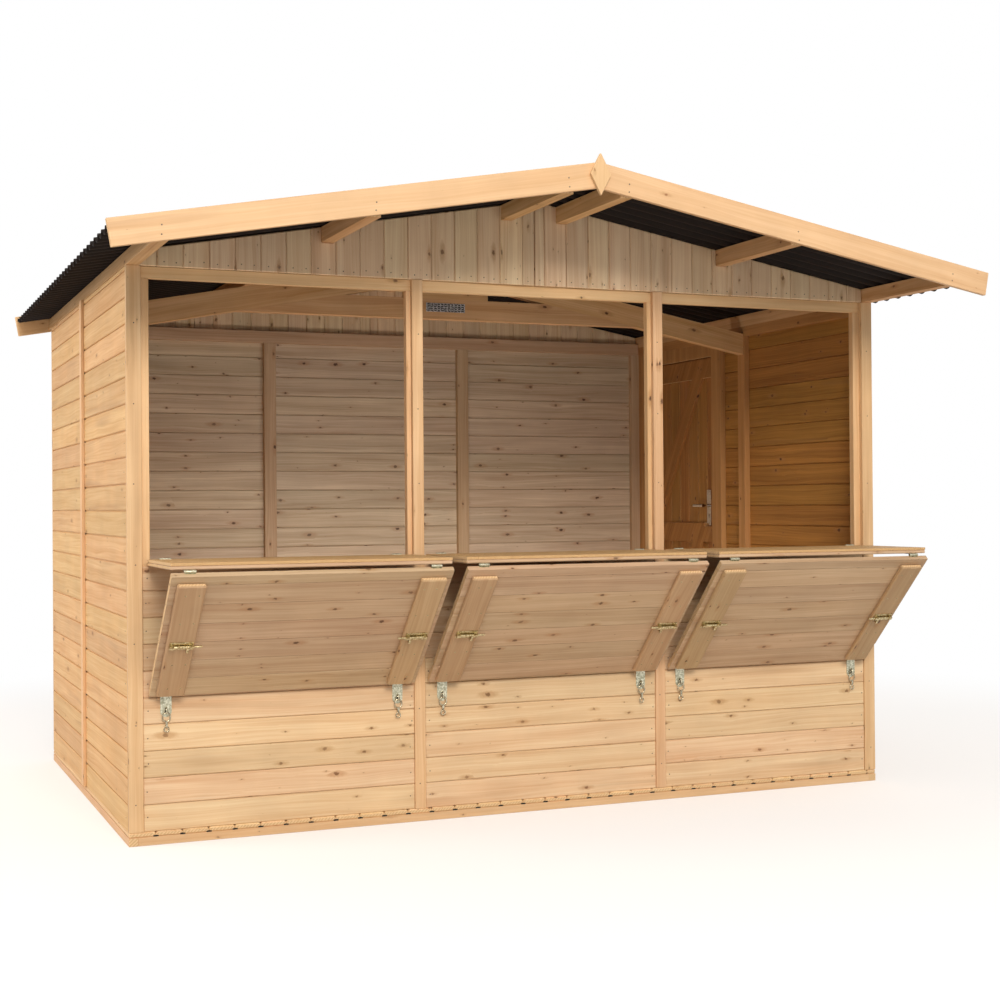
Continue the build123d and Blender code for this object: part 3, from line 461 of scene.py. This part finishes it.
def take_apart(whole):
    """Take a mesh apart into its loose parts, with their corners and faces in its own order."""
    whole.verts.index_update()
    whole.faces.index_update()
    left = set(whole.faces)
    found = []
    while left:
        island = set()
        reached = [left.pop()]
        while reached:
            face = reached.pop()
            island.add(face)
            near = {other for edge in face.edges for other in edge.link_faces} & left
            left -= near
            reached += near
        solid = bmesh.new()
        corners = {}
        for vert in sorted({vert for face in island for vert in face.verts}, key=lambda vert: vert.index):
            corners[vert] = solid.verts.new(vert.co)
        for face in sorted(island, key=lambda face: face.index):
            solid.faces.new([corners[vert] for vert in face.verts])
        found.append(solid)
    whole.free()
    return sorted(found, key=lambda solid: tuple(middle(solid)))


def span(solid, way):
    """Lowest and highest place of a solid along a direction."""
    places = [vert.co.dot(way) for vert in solid.verts]
    return min(places), max(places)


def middle(solid):
    """Middle of a solid's box."""
    return Vector([sum(span(solid, way)) / 2 for way in (X, Y, Z)])


def long_way(solid):
    """Direction of a solid's longest edge, along which its grain runs."""
    edge = max(solid.edges, key=lambda edge: edge.calc_length())
    return (edge.verts[1].co - edge.verts[0].co).normalized()


def saw(solid, way, place):
    """Cut a solid across a direction at a place along it; returns both parts."""
    parts = []
    for inner in (False, True):
        part = solid.copy()
        cut = bmesh.ops.bisect_plane(part, geom=part.verts[:] + part.edges[:] + part.faces[:], dist=1e-6,
                                     plane_co=way * place, plane_no=way, clear_inner=inner,
                                     clear_outer=not inner)
        rim = [piece for piece in cut["geom_cut"] if isinstance(piece, bmesh.types.BMEdge)]
        bmesh.ops.holes_fill(part, edges=rim, sides=0)
        parts.append(part)
    return parts


def tongue(panel, way, grain, place):
    """The tongue that bridges the open joint at a place along a panel."""
    strip = saw(saw(panel, way, place - TONGUE_REACH)[1], way, place + TONGUE_REACH)[0]
    across = way.cross(grain)
    centre = sum(span(strip, across)) / 2
    for vert in strip.verts:
        vert.co += across * (centre - vert.co.dot(across)) * (1 - TONGUE_SHARE)
    return strip


def steps(first, end, step):
    """Places from the first up to an end, a step apart."""
    places = []
    while first < end:
        places.append(first)
        first += step
    return places


def from_low(low, place):
    """The lowest of the places, a cover apart, that go through a place and aren't under low."""
    return place + math.ceil((low - place) / COVER) * COVER


def boards(solid, way, grain, first, gap):
    """Saw a panel into its boards and tongues; first is the place of one joint along the way."""
    low, high = span(solid, way)
    found = []
    tongues = []
    for place in steps(from_low(low, first), high - NARROWEST_BOARD, COVER):
        if place > low + NARROWEST_BOARD:
            tongues.append(tongue(solid, way, grain, place))
            found.append(saw(solid, way, place - gap / 2)[0])
            solid = saw(solid, way, place + gap / 2)[1]
    return found + [solid], tongues


def lay_grain(solid, grain):
    """Lay the grain along a solid in metres, with two numbers that are that solid's own."""
    along = solid.loops.layers.uv.new("grain")
    own = solid.loops.layers.uv.new("board")
    start = Vector((chance.uniform(0, 40), chance.uniform(0, 40)))
    tone = (chance.random(), chance.random())
    for face in solid.faces:
        crosscut = abs(face.normal.dot(grain)) > END_GRAIN
        first = grain.orthogonal().normalized() if crosscut else grain
        second = face.normal.cross(first).normalized()
        face.material_index = int(crosscut)
        for loop in face.loops:
            loop[along].uv = (loop.vert.co.dot(first) + start.x, loop.vert.co.dot(second) + start.y)
            loop[own].uv = tone


def join(name, parts, finishes, body):
    """Join parts into one piece that rides on a body."""
    whole = bmesh.new()
    whole.loops.layers.uv.new("grain")
    whole.loops.layers.uv.new("board")
    for part in parts:
        mesh = bpy.data.meshes.new(name)
        part.to_mesh(mesh)
        whole.from_mesh(mesh)
        bpy.data.meshes.remove(mesh)
        part.free()
    mesh = bpy.data.meshes.new(name)
    whole.to_mesh(mesh)
    whole.free()
    for finish in finishes:
        mesh.materials.append(finish)
    piece = bpy.data.objects.new(name, mesh)
    bpy.context.scene.collection.objects.link(piece)
    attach(piece, body)
    return piece


def body_of(node):
    """The body that a CAD node is part of."""
    bodies = frame["record"]["behaviour"]["bodies"]
    return next(body for body, nodes in bodies.items() if node in nodes)


def work(part, grain, edge=0):
    """Ease a sawn part's edges, if they show, and lay its grain."""
    bmesh.ops.recalc_face_normals(part, faces=part.faces)
    if edge:
        bmesh.ops.bevel(part, geom=part.edges[:], offset=edge, segments=1, profile=0.5, affect="EDGES",
                        clamp_overlap=True)
    part.normal_update()
    lay_grain(part, grain)


def dress(node, parts, finish, grain=None, edge=SOFT_EDGE, tongues=(), more=()):
    """Work a CAD node's sawn parts and tongues, and let them stand for it, with more worked before."""
    for part in parts:
        work(part, grain or long_way(part), edge)
    for part in tongues:
        work(part, grain)
    piece = join(node + "_timber", [*parts, *tongues, *more], [finish, CROSSCUT], body_of(node))
    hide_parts(node)
    return piece


def clad(node, finish, way, grain, first, joint=V_JOINT):
    """Saw a node's panels into boards with V joints, and tongues behind the joints."""
    chamfer, gap = joint
    parts = []
    tongues = []
    for panel in solids(node):
        sawn, bridging = boards(panel, way, grain, first, gap)
        parts += sawn
        tongues += bridging
    return dress(node, parts, finish, grain, chamfer, tongues)


def finish_outside(piece, way, finish):
    """Give the faces of a piece that look one way, with the chamfers beside them, a finish of their own; the rest
    of the piece keeps its copy of the wood in painted shade.
    """
    piece.data.materials.append(finish)
    for face in piece.data.polygons:
        if face.normal.dot(way) > OUTWARDS:
            face.material_index = len(piece.data.materials) - 1


def paint(node, finish):
    """Give a CAD node its material as it stands."""
    mesh = frame["nodes"][node].data
    mesh.materials.clear()
    mesh.materials.append(finish)


def disc(spot, way, radius, height, index=0, sides=10):
    """A low round head on a surface at a spot, facing one way."""
    head = bmesh.new()
    turn = Z.rotation_difference(way).to_matrix().to_4x4()
    place = Matrix.Translation(spot + way * height / 2) @ turn
    bmesh.ops.create_cone(head, cap_ends=True, segments=sides, radius1=radius, radius2=radius * TAPER,
                          depth=height, matrix=place)
    for face in head.faces:
        face.material_index = index
    return head


def brick(centre, sizes, index=0):
    """A squared block from its middle and its sizes."""
    block = bmesh.new()
    bmesh.ops.create_cube(block, size=1, matrix=Matrix.Translation(centre) @ Matrix.Diagonal((*sizes, 1)))
    bmesh.ops.recalc_face_normals(block, faces=block.faces)
    for face in block.faces:
        face.material_index = index
    return block


def wire(points, radius):
    """A loop of round wire through its points, which lie in the plane of the front."""
    loop = bmesh.new()
    count = len(points)
    rings = []
    for number, point in enumerate(points):
        run = (points[(number + 1) % count] - points[number - 1]).normalized()
        side = run.cross(Y).normalized()
        other = run.cross(side)
        rings.append([loop.verts.new(point + radius * (math.cos(turn) * side + math.sin(turn) * other))
                      for turn in (2 * math.pi * step / WIRE_SIDES for step in range(WIRE_SIDES))])
    for number in range(count):
        here, there = rings[number], rings[(number + 1) % count]
        for step in range(WIRE_SIDES):
            after = (step + 1) % WIRE_SIDES
            loop.faces.new((here[step], here[after], there[after], there[step]))
    bmesh.ops.recalc_face_normals(loop, faces=loop.faces)
    for face in loop.faces:
        face.smooth = True
    return loop


def fix(name, parts, finishes, near):
    """Join small parts into one piece that rides with the CAD node it is fixed to."""
    piece = join(name, parts, finishes, body_of(near))


def nails(name, spots, way, near, radius=NAIL_HEAD):
    """Flat nail heads, each set a little off its line."""
    parts = []
    for spot in spots:
        stray = Vector([chance.uniform(-NAIL_STRAY, NAIL_STRAY) * (1 - abs(way[axis])) for axis in range(3)])
        parts.append(disc(spot + stray, way, radius, NAIL_RISE))
    fix(name, parts, [NAIL], near)


def screw(spot, way, size, dark):
    """A screw's head, and a thin dark square of painted shade on it for its recess, whose finish has the number
    dark in its piece.
    """
    radius, rise, recess = size
    return [disc(spot, way, radius, rise), disc(spot + way * rise, way, recess, RECESS_SHADE_THICKNESS, dark, 4)]


def capped_nail(spot, up, sink):
    """A roofing nail's cap, sunk a little into the sheet."""
    return [disc(spot + up * (rise - sink), up, radius, CAP_STEP_RISE, sides=16)
            for radius, rise in zip(CAP_STEPS, (0, CAP_STEP_RISE))]


# ---------------------------------------------------------------- the stall

def dress_floor():
    """Boards on their bearers, with slivers of painted shade where the open ends of the grooves under the joints
    lie in shadow.
    """
    low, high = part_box("floor_boards")
    dress("floor_bearers", solids("floor_bearers"), FRAMING, edge=SAWN_EDGE)
    clad("floor_boards", FLOORING, X, Y, low.x, FLOOR_V_JOINT)
    # dark slivers of painted shade at both ends of every joint
    hollow_shade = [brick(Vector((x, y, low.z + FLOOR_HOLLOW_SHADE_RISE)), FLOOR_HOLLOW_SHADE)
               for x in steps(low.x + COVER, high.x - COVER / 2, COVER) for y in (low.y, high.y)]
    fix("floor_joint_hollow_shade", hollow_shade, [HOLE_SHADE], "floor_boards")


def dress_walls():
    """Level boards from the floor up, and upright ones in the gables."""
    clad("front_aprons", CLADDING, Z, X, FLOOR_TOP)
    # the rear wall's inside keeps the painted-shade copy; its outside has the plain cladding
    finish_outside(clad("rear_wall", REAR_CLADDING_PAINTED_SHADE, Z, X, FLOOR_TOP), Y, CLADDING)
    clad("left_wall", SIDE_CLADDING, Z, Y, FLOOR_TOP, SIDE_V_JOINT)
    for node in ("right_wall", "right_wall_over_door"):
        # the right wall's inside keeps the painted-shade copy; its outside has the side cladding
        finish_outside(clad(node, DOOR_SIDE_CLADDING_PAINTED_SHADE, Z, Y, FLOOR_TOP), X, SIDE_CLADDING)
    for node in ("front_gable", "rear_gable"):
        # the gables have their paler copy with painted light
        clad(node, GABLE_CLADDING_PAINTED_LIGHT, X, Z, GABLE_FIRST_JOINT)


def dress_framing():
    """Trims, posts, rails and studs, the truss and purlins, and the bargeboards."""
    for node in ("front_trims", "rear_trims", "side_cover_strips", "front_posts", "front_header",
                 "front_sill_rails"):
        dress(node, solids(node), FRAMING)
    # the framing inside the rear wall is in painted shade
    for node in ("rear_rail", "rear_studs"):
        dress(node, solids(node), REAR_FRAMING_PAINTED_SHADE)
    for node in ("side_studs", "side_top_plates", "door_frame"):
        # the framing inside the side walls is in painted shade
        dress(node, solids(node), DOOR_SIDE_FRAMING_PAINTED_SHADE)
    for node in ("truss_rafters", "truss_tie", "truss_king_board", "roof_purlins"):
        dress(node, solids(node), ROOFING, edge=SAWN_EDGE)
    for node in ("front_bargeboards", "rear_bargeboards"):
        dress(node, solids(node), BARGE)
    dress("finials", solids("finials"), BARGE, grain=Z)


def dress_shutters():
    """Counters with their strand board, and flaps with their battens."""
    for place in ("left", "middle", "right"):
        clad(f"counter_{place}_boards", SHUTTER, Y, X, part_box(f"counter_{place}_boards")[1].y)
        dress(f"counter_{place}_top", solids(f"counter_{place}_top"), STRANDS, grain=X, edge=STRAND_EDGE)
        paint(f"counter_{place}_leaves", BRIGHT_ZINC)

        joint = next(joint for joint in frame["joints"] if joint["child"] == f"flap_{place}")
        lean = math.radians(joint["range_deg"][1])
        along = Vector((0, -math.cos(lean), -math.sin(lean)))   # from the hinge down the flap
        out = Vector((0, -math.sin(lean), math.cos(lean)))      # out of its outer face
        whole = solids(f"flap_{place}")[0]
        # the battens stand on the outer face, which is where the board's thickness ends
        panel, battens = saw(whole, out, span(whole, out)[1] - BATTEN)
        chamfer, gap = V_JOINT
        sawn, tongues = boards(panel, along, X, span(panel, along)[1], gap)
        battens = take_apart(battens)
        for batten in battens:
            work(batten, along, BATTEN_EDGE)
            for face in batten.faces:
                face.material_index += 2
        flap = dress(f"flap_{place}", sawn, SHUTTER, X, chamfer, tongues, battens)
        flap.data.materials.append(BATTEN_WOOD)
        flap.data.materials.append(CROSSCUT)
        dress_flap_iron(place, along, out, Vector(joint["pos_m"]))
    paint("wall_hasps", BRIGHT_ZINC)
    paint("counter_hinges", BRIGHT_ZINC)


def dress_flap_iron(place, along, out, hinge):
    """Bright hinges and yellow bolts; each bolt's plate has four screws, and each batten eight."""
    def on_flap(x, down, level):
        """A point at an x, at a way down the flap from its hinge, and at a level out of its face."""
        spot = hinge + along * down + out * (level - hinge.dot(out))
        spot.x = x
        return spot

    node = f"flap_{place}_ironwork"
    low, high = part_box(f"flap_{place}")
    parts = []
    for solid in solids(node):
        near_hinge = (middle(solid) - hinge).dot(along) < HINGE_ZONE
        for face in solid.faces:
            face.material_index = int(near_hinge)
        if not near_hinge:
            left, right = span(solid, X)
            end, inwards = (left, 1) if left < (low.x + high.x) / 2 else (right, -1)
            bolt = end + inwards * BOLT_PLATE / 2
            batten = bolt + inwards * BATTEN_PAST_BOLT
            level = span(solid, out)[0]
            for x in (-BOLT_SCREWS[0], BOLT_SCREWS[0]):
                for across in (-BOLT_SCREWS[1], BOLT_SCREWS[1]):
                    parts += screw(on_flap(bolt + x, BOLT_PLACE + across, level + BOLT_PLATE_THICKNESS),
                                   out, BOLT_SCREW, 2)
            for down in BATTEN_ROWS:
                for x in (-BATTEN_ROW_SPREAD, BATTEN_ROW_SPREAD):
                    parts += screw(on_flap(batten + x, down, level), out, BATTEN_SCREW, 2)
        parts.append(solid)
    piece = join(f"flap_{place}_hinges_and_bolts", parts, [YELLOW_ZINC, BRIGHT_ZINC, HOLE_SHADE], body_of(node))
    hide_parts(node)


def link(hang, drop, radius, tall, thickness):
    """A round or long loop of wire in the plane of the front, under where it hangs."""
    points = []
    for step in range(RING_POINTS):
        turn = 2 * math.pi * (step + 0.5) / RING_POINTS
        lift = math.copysign(tall / 2, math.sin(turn))
        points.append(hang - drop * Z + radius * (math.cos(turn) * X + math.sin(turn) * Z) + lift * Z)
    return wire(points, thickness)


def dress_hasps():
    """A snap hook hangs from each staple, under a slot punched in its hasp, which is drawn as a patch of painted
    shade.
    """
    hooks = []
    screws_and_slot_shade = []
    for hasp in solids("wall_hasps"):
        x = middle(hasp).x
        foot, top = span(hasp, Z)
        staple = foot + HASP_END + STAPLE_RISE
        face = span(hasp, Y)[1] - HASP_THICKNESS
        eye = Vector((x, face - HOOK_OUT, staple))
        hang = eye - Y * RING_OUT
        hooks += [link(eye, *HOOK_EYE), link(hang, *HOOK_RING),
                  *(brick(hang - Z * drop, sizes) for drop, sizes in HOOK_SWIVEL), link(hang, *HOOK_END)]
        across, down = HASP_SCREW_PLACE
        for side in (-across, across):
            screws_and_slot_shade += screw(Vector((x + side, face, top - down)), -Y, HASP_SCREW, 1)
        # the slot is a thin dark patch of painted shade
        screws_and_slot_shade.append(brick(Vector((x, face - STAPLE_SLOT[1] / 2, staple)), STAPLE_SLOT, 1))
    fix("wall_snap_hooks", hooks, [NICKEL], "wall_hasps")
    fix("wall_hasp_screws", screws_and_slot_shade, [BRIGHT_ZINC, HOLE_SHADE], "wall_hasps")


def board_middles(top):
    """Heights of the middles of a wall's boards."""
    return steps(FLOOR_TOP + COVER / 2, top - LAST_NAIL, COVER)


def nail_front():
    """Nails through the aprons into the posts, and through the strips over their ends."""
    low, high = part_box("front_aprons")
    spots = [Vector((x, low.y, z))
             for left, right in sorted(span(panel, X) for panel in solids("front_aprons"))
             for z in board_middles(high.z) for x in (left + APRON_NAIL_IN, right - APRON_NAIL_IN)]
    nails("front_apron_nails", spots, -Y, "front_aprons")

    low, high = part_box("front_trims")
    spots = [Vector((middle(trim).x, low.y, z)) for trim in solids("front_trims")
             for z in steps(FLOOR_TOP + TRIM_NAIL_FIRST, high.z - LAST_NAIL, TRIM_NAIL_STEP)]
    nails("front_trim_nails", spots, -Y, "front_trims")


def nail_walls():
    """Nails through the side and rear walls into their studs."""
    low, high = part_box("left_wall")
    spots = [Vector((low.x, y, z)) for z in board_middles(high.z)
             for y in (low.y + SIDE_NAIL_IN, SIDE_STUD, high.y - SIDE_NAIL_IN)]
    nails("left_wall_nails", spots, -X, "left_wall")
    # the right wall's rear end is the door's frame, which has none
    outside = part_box("right_wall")[1].x
    spots = [Vector((outside, spot.y, spot.z)) for spot in spots if spot.y < 0]
    nails("right_wall_nails", spots, X, "right_wall")

    low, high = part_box("rear_wall")
    spots = [Vector((x, high.y, z)) for z in board_middles(high.z)
             for x in (low.x + REAR_NAIL_IN, *REAR_JOINT_NAILS, high.x - REAR_NAIL_IN)]
    nails("rear_wall_nails", spots, Y, "rear_wall")


def nail_gable():
    """Nails in pairs at the foot of the gable, and through the bargeboards into the purlins."""
    low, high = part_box("front_gable")
    first = from_low(low.x + LAST_NAIL, GABLE_FIRST_JOINT + COVER / 2)
    spots = [Vector((x + side, low.y, low.z + GABLE_NAIL_RISE))
             for x in steps(first, high.x - LAST_NAIL, COVER)
             for side in (-GABLE_NAIL_SPREAD, GABLE_NAIL_SPREAD)]
    nails("gable_nails", spots, -Y, "front_gable")

    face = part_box("front_bargeboards")[0].y
    centres = [middle(purlin) for purlin in solids("roof_purlins")]
    spots = [Vector((centre.x, face, centre.z + side)) for centre in centres for side in BARGE_NAILS]
    nails("bargeboard_nails", spots, -Y, "front_bargeboards", BARGE_NAIL_HEAD)


def plate_truss():
    """A toothed plate, with rows of punched holes drawn as dark patches of painted shade, joins the two halves of
    the truss's tie.
    """
    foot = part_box("truss_tie")[0]
    centre = Vector((NAIL_PLATE_PLACE[0], foot.y - NAIL_PLATE[1] / 2, foot.z + NAIL_PLATE_PLACE[1]))
    plate = [brick(centre, NAIL_PLATE)]
    for column in range(HOLES[0]):
        for row in range(HOLES[1]):
            x = HOLE_STEPS[0] * (column - (HOLES[0] - 1) / 2)
            z = HOLE_STEPS[1] * (row - (HOLES[1] - 1) / 2)
            # each punched hole is a patch of painted shade on the plate's face
            plate.append(brick(centre + Vector((x, -(NAIL_PLATE[1] + HOLE_SIZE[1]) / 2, z)), HOLE_SIZE, 1))
    fix("truss_nail_plate", plate, [SPANGLED_PAINTED_GLINTS, HOLE_SHADE], "truss_tie")


def slope_up(sign):
    """The way out of the roof's left slope, -1, or right slope, 1."""
    return Vector((sign * math.sin(SLOPE), 0, math.cos(SLOPE)))


def dress_roof_nails():
    """Capped roofing nails on every second crest, over the outer purlins, and along the cap."""
    for side, sign in (("left", -1), ("right", 1)):
        node = f"roof_sheet_{side}"
        up = slope_up(sign)
        points = [vert.co for vert in frame["nodes"][node].data.vertices]
        crest = max(point.dot(up) for point in points)
        tops = sorted({round(point.y, 3) for point in points if crest - point.dot(up) < CREST_DEPTH})
        lines = [tops[0]]
        for y in tops:
            if y - lines[-1] > CREST_APART:
                lines.append(y)
        caps = []
        for x in SHEET_NAIL_LINES:
            z = (crest - math.sin(SLOPE) * x) / math.cos(SLOPE)
            for y in lines[1::2]:
                caps += capped_nail(Vector((sign * x, y, z)), up, SHEET_NAIL_SINK)
        fix(f"roofing_nails_{side}", caps, [NAIL_CAP], node)
    low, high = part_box("ridge_cap")
    caps = []
    for y in steps(low.y + RIDGE_NAIL_FIRST, high.y - LAST_NAIL, RIDGE_NAIL_STEP):
        for sign in (-1, 1):
            spot = Vector((sign * RIDGE_NAIL_OUT, y, high.z - RIDGE_NAIL_OUT * math.tan(SLOPE)))
            caps += capped_nail(spot, slope_up(sign), RIDGE_NAIL_SINK)
    fix("ridge_cap_nails", caps, [NAIL_CAP], "ridge_cap")


def dress_door_fixings():
    """Keyholes in the handle plates, drawn as painted shade, and screws along the hinge straps."""
    low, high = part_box("door_leaf")
    holes = []
    for plate in solids("door_handle_plates"):
        centre = middle(plate)
        inner, outer = span(plate, X)
        face, way = (outer, X) if centre.x > low.x else (inner, -X)
        foot, top = span(plate, Z)
        key = Vector((face, centre.y, foot + KEY_RISE))
        # the keyhole is a round and a slot of painted shade on the plate
        holes.append(disc(key, way, KEY_ROUND, KEY_SLOT[0]))
        holes.append(brick(key - Z * KEY_SLOT_DROP + way * KEY_SLOT[0] / 2, KEY_SLOT))
        for z in (foot + PLATE_SCREW_IN, top - PLATE_SCREW_IN):
            holes.append(disc(Vector((face, centre.y, z)), way, *PLATE_SCREW, 1))
    fix("door_keyhole_shade", holes, [HOLE_SHADE, CHROME], "door_handle_plates")
    screws = []
    for strap in solids("door_hinges"):
        near = span(strap, Y)[0]
        for number in range(STRAP_SCREWS):
            spot = Vector((high.x + STRAP_THICKNESS, near + STRAP_SCREW_FIRST + number * STRAP_SCREW_STEP,
                           middle(strap).z))
            screws.append(disc(spot, X, *STRAP_SCREW))
    fix("door_hinge_screws", screws, [BRIGHT_ZINC], "door_hinges")


def dress_door():
    """A plank door on ledges and braces, with chromed handles; its inside and ledges are a darker, warmer copy of
    the wood in painted shade.
    """
    finish_outside(clad("door_leaf", DOOR_PAINTED_SHADE, Y, Z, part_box("door_leaf")[0].y), X, SIDE_CLADDING)
    dress("door_ledges", solids("door_ledges"), DOOR_PAINTED_SHADE)
    paint("door_handle_plates", CHROME)
    paint("door_lever", CHROME)
    paint("door_hinges", BRIGHT_ZINC)


# ---------------------------------------------------------------- studio

def lay_ground():
    """A plain pale ground that keeps the stall's shadow."""
    mesh = bpy.data.meshes.new("ground")
    corners = [(x * GROUND_REACH, y * GROUND_REACH, -GROUND_DROP)
               for x, y in ((-1, -1), (1, -1), (1, 1), (-1, 1))]
    mesh.from_pydata(corners, [], [range(4)])
    ground = bpy.data.objects.new("ground", mesh)
    bpy.context.scene.collection.objects.link(ground)
    material, tree, shader = new_material("pale_ground")
    shader.inputs["Base Color"].default_value = linear("#C6C2BD")
    shader.inputs["Roughness"].default_value = 0.9
    place = add(tree, "ShaderNodeNewGeometry").outputs["Position"]
    # a fine even tooth, 3 mm across
    tooth = add(tree, "ShaderNodeTexNoise", {"Vector": place, "Scale": 330.0})
    tooth = add(tree, "ShaderNodeBump", {"Height": tooth.outputs["Fac"], "Strength": 0.1, "Distance": 0.0005})
    tree.links.new(tooth.outputs["Normal"], shader.inputs["Normal"])
    # the ground fades into the white background between 3 m and 5 m from the middle
    fade = add(tree, "ShaderNodeMapRange", {"Value": length(tree, place), "From Min": 3.0, "From Max": 5.0},
               interpolation_type="SMOOTHSTEP").outputs["Result"]
    path = add(tree, "ShaderNodeLightPath")
    seen = maths(tree, "MAXIMUM", path.outputs["Is Camera Ray"], path.outputs["Is Glossy Ray"])
    # where it is seen it glows a little, so that it nears the background's white
    shader.inputs["Emission Color"].default_value = (1, 1, 1, 1)
    tree.links.new(maths(tree, "MULTIPLY", seen, 0.44), shader.inputs["Emission Strength"])
    fade = maths(tree, "MULTIPLY", fade, seen)
    white = add(tree, "ShaderNodeEmission", {"Color": (1, 1, 1, 1), "Strength": 1.0})
    both = add(tree, "ShaderNodeMixShader", {"Fac": fade, 1: shader.outputs["BSDF"],
                                             2: white.outputs["Emission"]})
    output = next(node for node in tree.nodes if node.type == "OUTPUT_MATERIAL")
    tree.links.new(both.outputs["Shader"], output.inputs["Surface"])
    mesh.materials.append(material)


def light_world():
    """An even sky: white where the camera or a shiny surface sees it, and softer as light."""
    world = bpy.data.worlds.new("studio")
    bpy.context.scene.world = world
    world.use_nodes = True
    tree = world.node_tree
    tree.nodes.clear()
    path = add(tree, "ShaderNodeLightPath")
    seen = maths(tree, "MAXIMUM", path.outputs["Is Camera Ray"], path.outputs["Is Glossy Ray"])
    seen = maths(tree, "MAXIMUM", seen, path.outputs["Is Transmission Ray"])
    way = add(tree, "ShaderNodeTexCoord").outputs["Generated"]
    height = add(tree, "ShaderNodeSeparateXYZ", {"Vector": way}).outputs["Z"]
    # as light it is weakest under the horizon and grows up to near the top
    glow = add(tree, "ShaderNodeMapRange", {"Value": height, "From Min": -0.1, "From Max": 0.9,
                                            "To Min": 0.34, "To Max": 0.85}).outputs["Result"]
    sky = add(tree, "ShaderNodeBackground", {"Color": (0.95, 0.97, 1, 1), "Strength": glow})
    white = add(tree, "ShaderNodeBackground", {"Color": (1, 1, 1, 1), "Strength": 1.0})
    mixed = add(tree, "ShaderNodeMixShader", {"Fac": seen, 1: sky.outputs["Background"],
                                              2: white.outputs["Background"]})
    add(tree, "ShaderNodeOutputWorld", {"Surface": mixed.outputs["Shader"]})


def hang_lamp(name, place, aim, size, power, colour):
    """A soft lamp, of a width and a height, that looks at a point."""
    lamp = bpy.data.lights.new(name, "AREA")
    lamp.shape = "RECTANGLE"
    lamp.size, lamp.size_y = size
    lamp.energy = power
    lamp.color = linear(colour)[:3]
    holder = bpy.data.objects.new(name, lamp)
    holder.location = place
    holder.rotation_euler = (Vector(aim) - Vector(place)).to_track_quat("-Z", "Y").to_euler()
    bpy.context.scene.collection.objects.link(holder)


def set_camera():
    """A camera out in front of the stall's left corner, a little higher than its counters."""
    forward = Vector((math.sin(YAW) * math.cos(PITCH), math.cos(YAW) * math.cos(PITCH), math.sin(PITCH)))
    level = Vector((math.cos(YAW), -math.sin(YAW), 0))
    upright = level.cross(forward)
    right = math.cos(ROLL) * level + math.sin(ROLL) * upright
    up = math.cos(ROLL) * upright - math.sin(ROLL) * level
    camera = bpy.data.cameras.new("camera")
    camera.lens = LENS
    camera.sensor_width = SENSOR
    camera.shift_y = SHIFT_Y
    holder = bpy.data.objects.new("camera", camera)
    holder.matrix_world = Matrix((
        (right.x, up.x, -forward.x, CAMERA_PLACE.x),
        (right.y, up.y, -forward.y, CAMERA_PLACE.y),
        (right.z, up.z, -forward.z, CAMERA_PLACE.z),
        (0, 0, 0, 1),
    ))
    bpy.context.scene.collection.objects.link(holder)
    bpy.context.scene.camera = holder


set_camera()
dress_floor()
dress_walls()
dress_framing()
dress_shutters()
dress_door()
for node in ("roof_sheet_left", "roof_sheet_right", "ridge_cap"):
    paint(node, BITUMEN)
dress_hasps()
nail_front()
nail_walls()
nail_gable()
plate_truss()
dress_roof_nails()
dress_door_fixings()
lay_ground()
light_world()
# name, place, what it looks at, width and height, watts, colour
hang_lamp("key", (-2.0, -11.0, 6.6), (0, 0, 1.0), (4.5, 4.0), 920, "#FFF5EA")
hang_lamp("left", (-7.5, 0.6, 3.6), (-1.5, 0, 1.0), (3.0, 2.5), 205, "#FFEEDC")
hang_lamp("inside", (-0.1, -0.7, 0.45), (-0.1, 0.95, 1.5), (1.6, 0.2), 12, "#FFFBF4")
bpy.context.scene.view_settings.view_transform = "Standard"
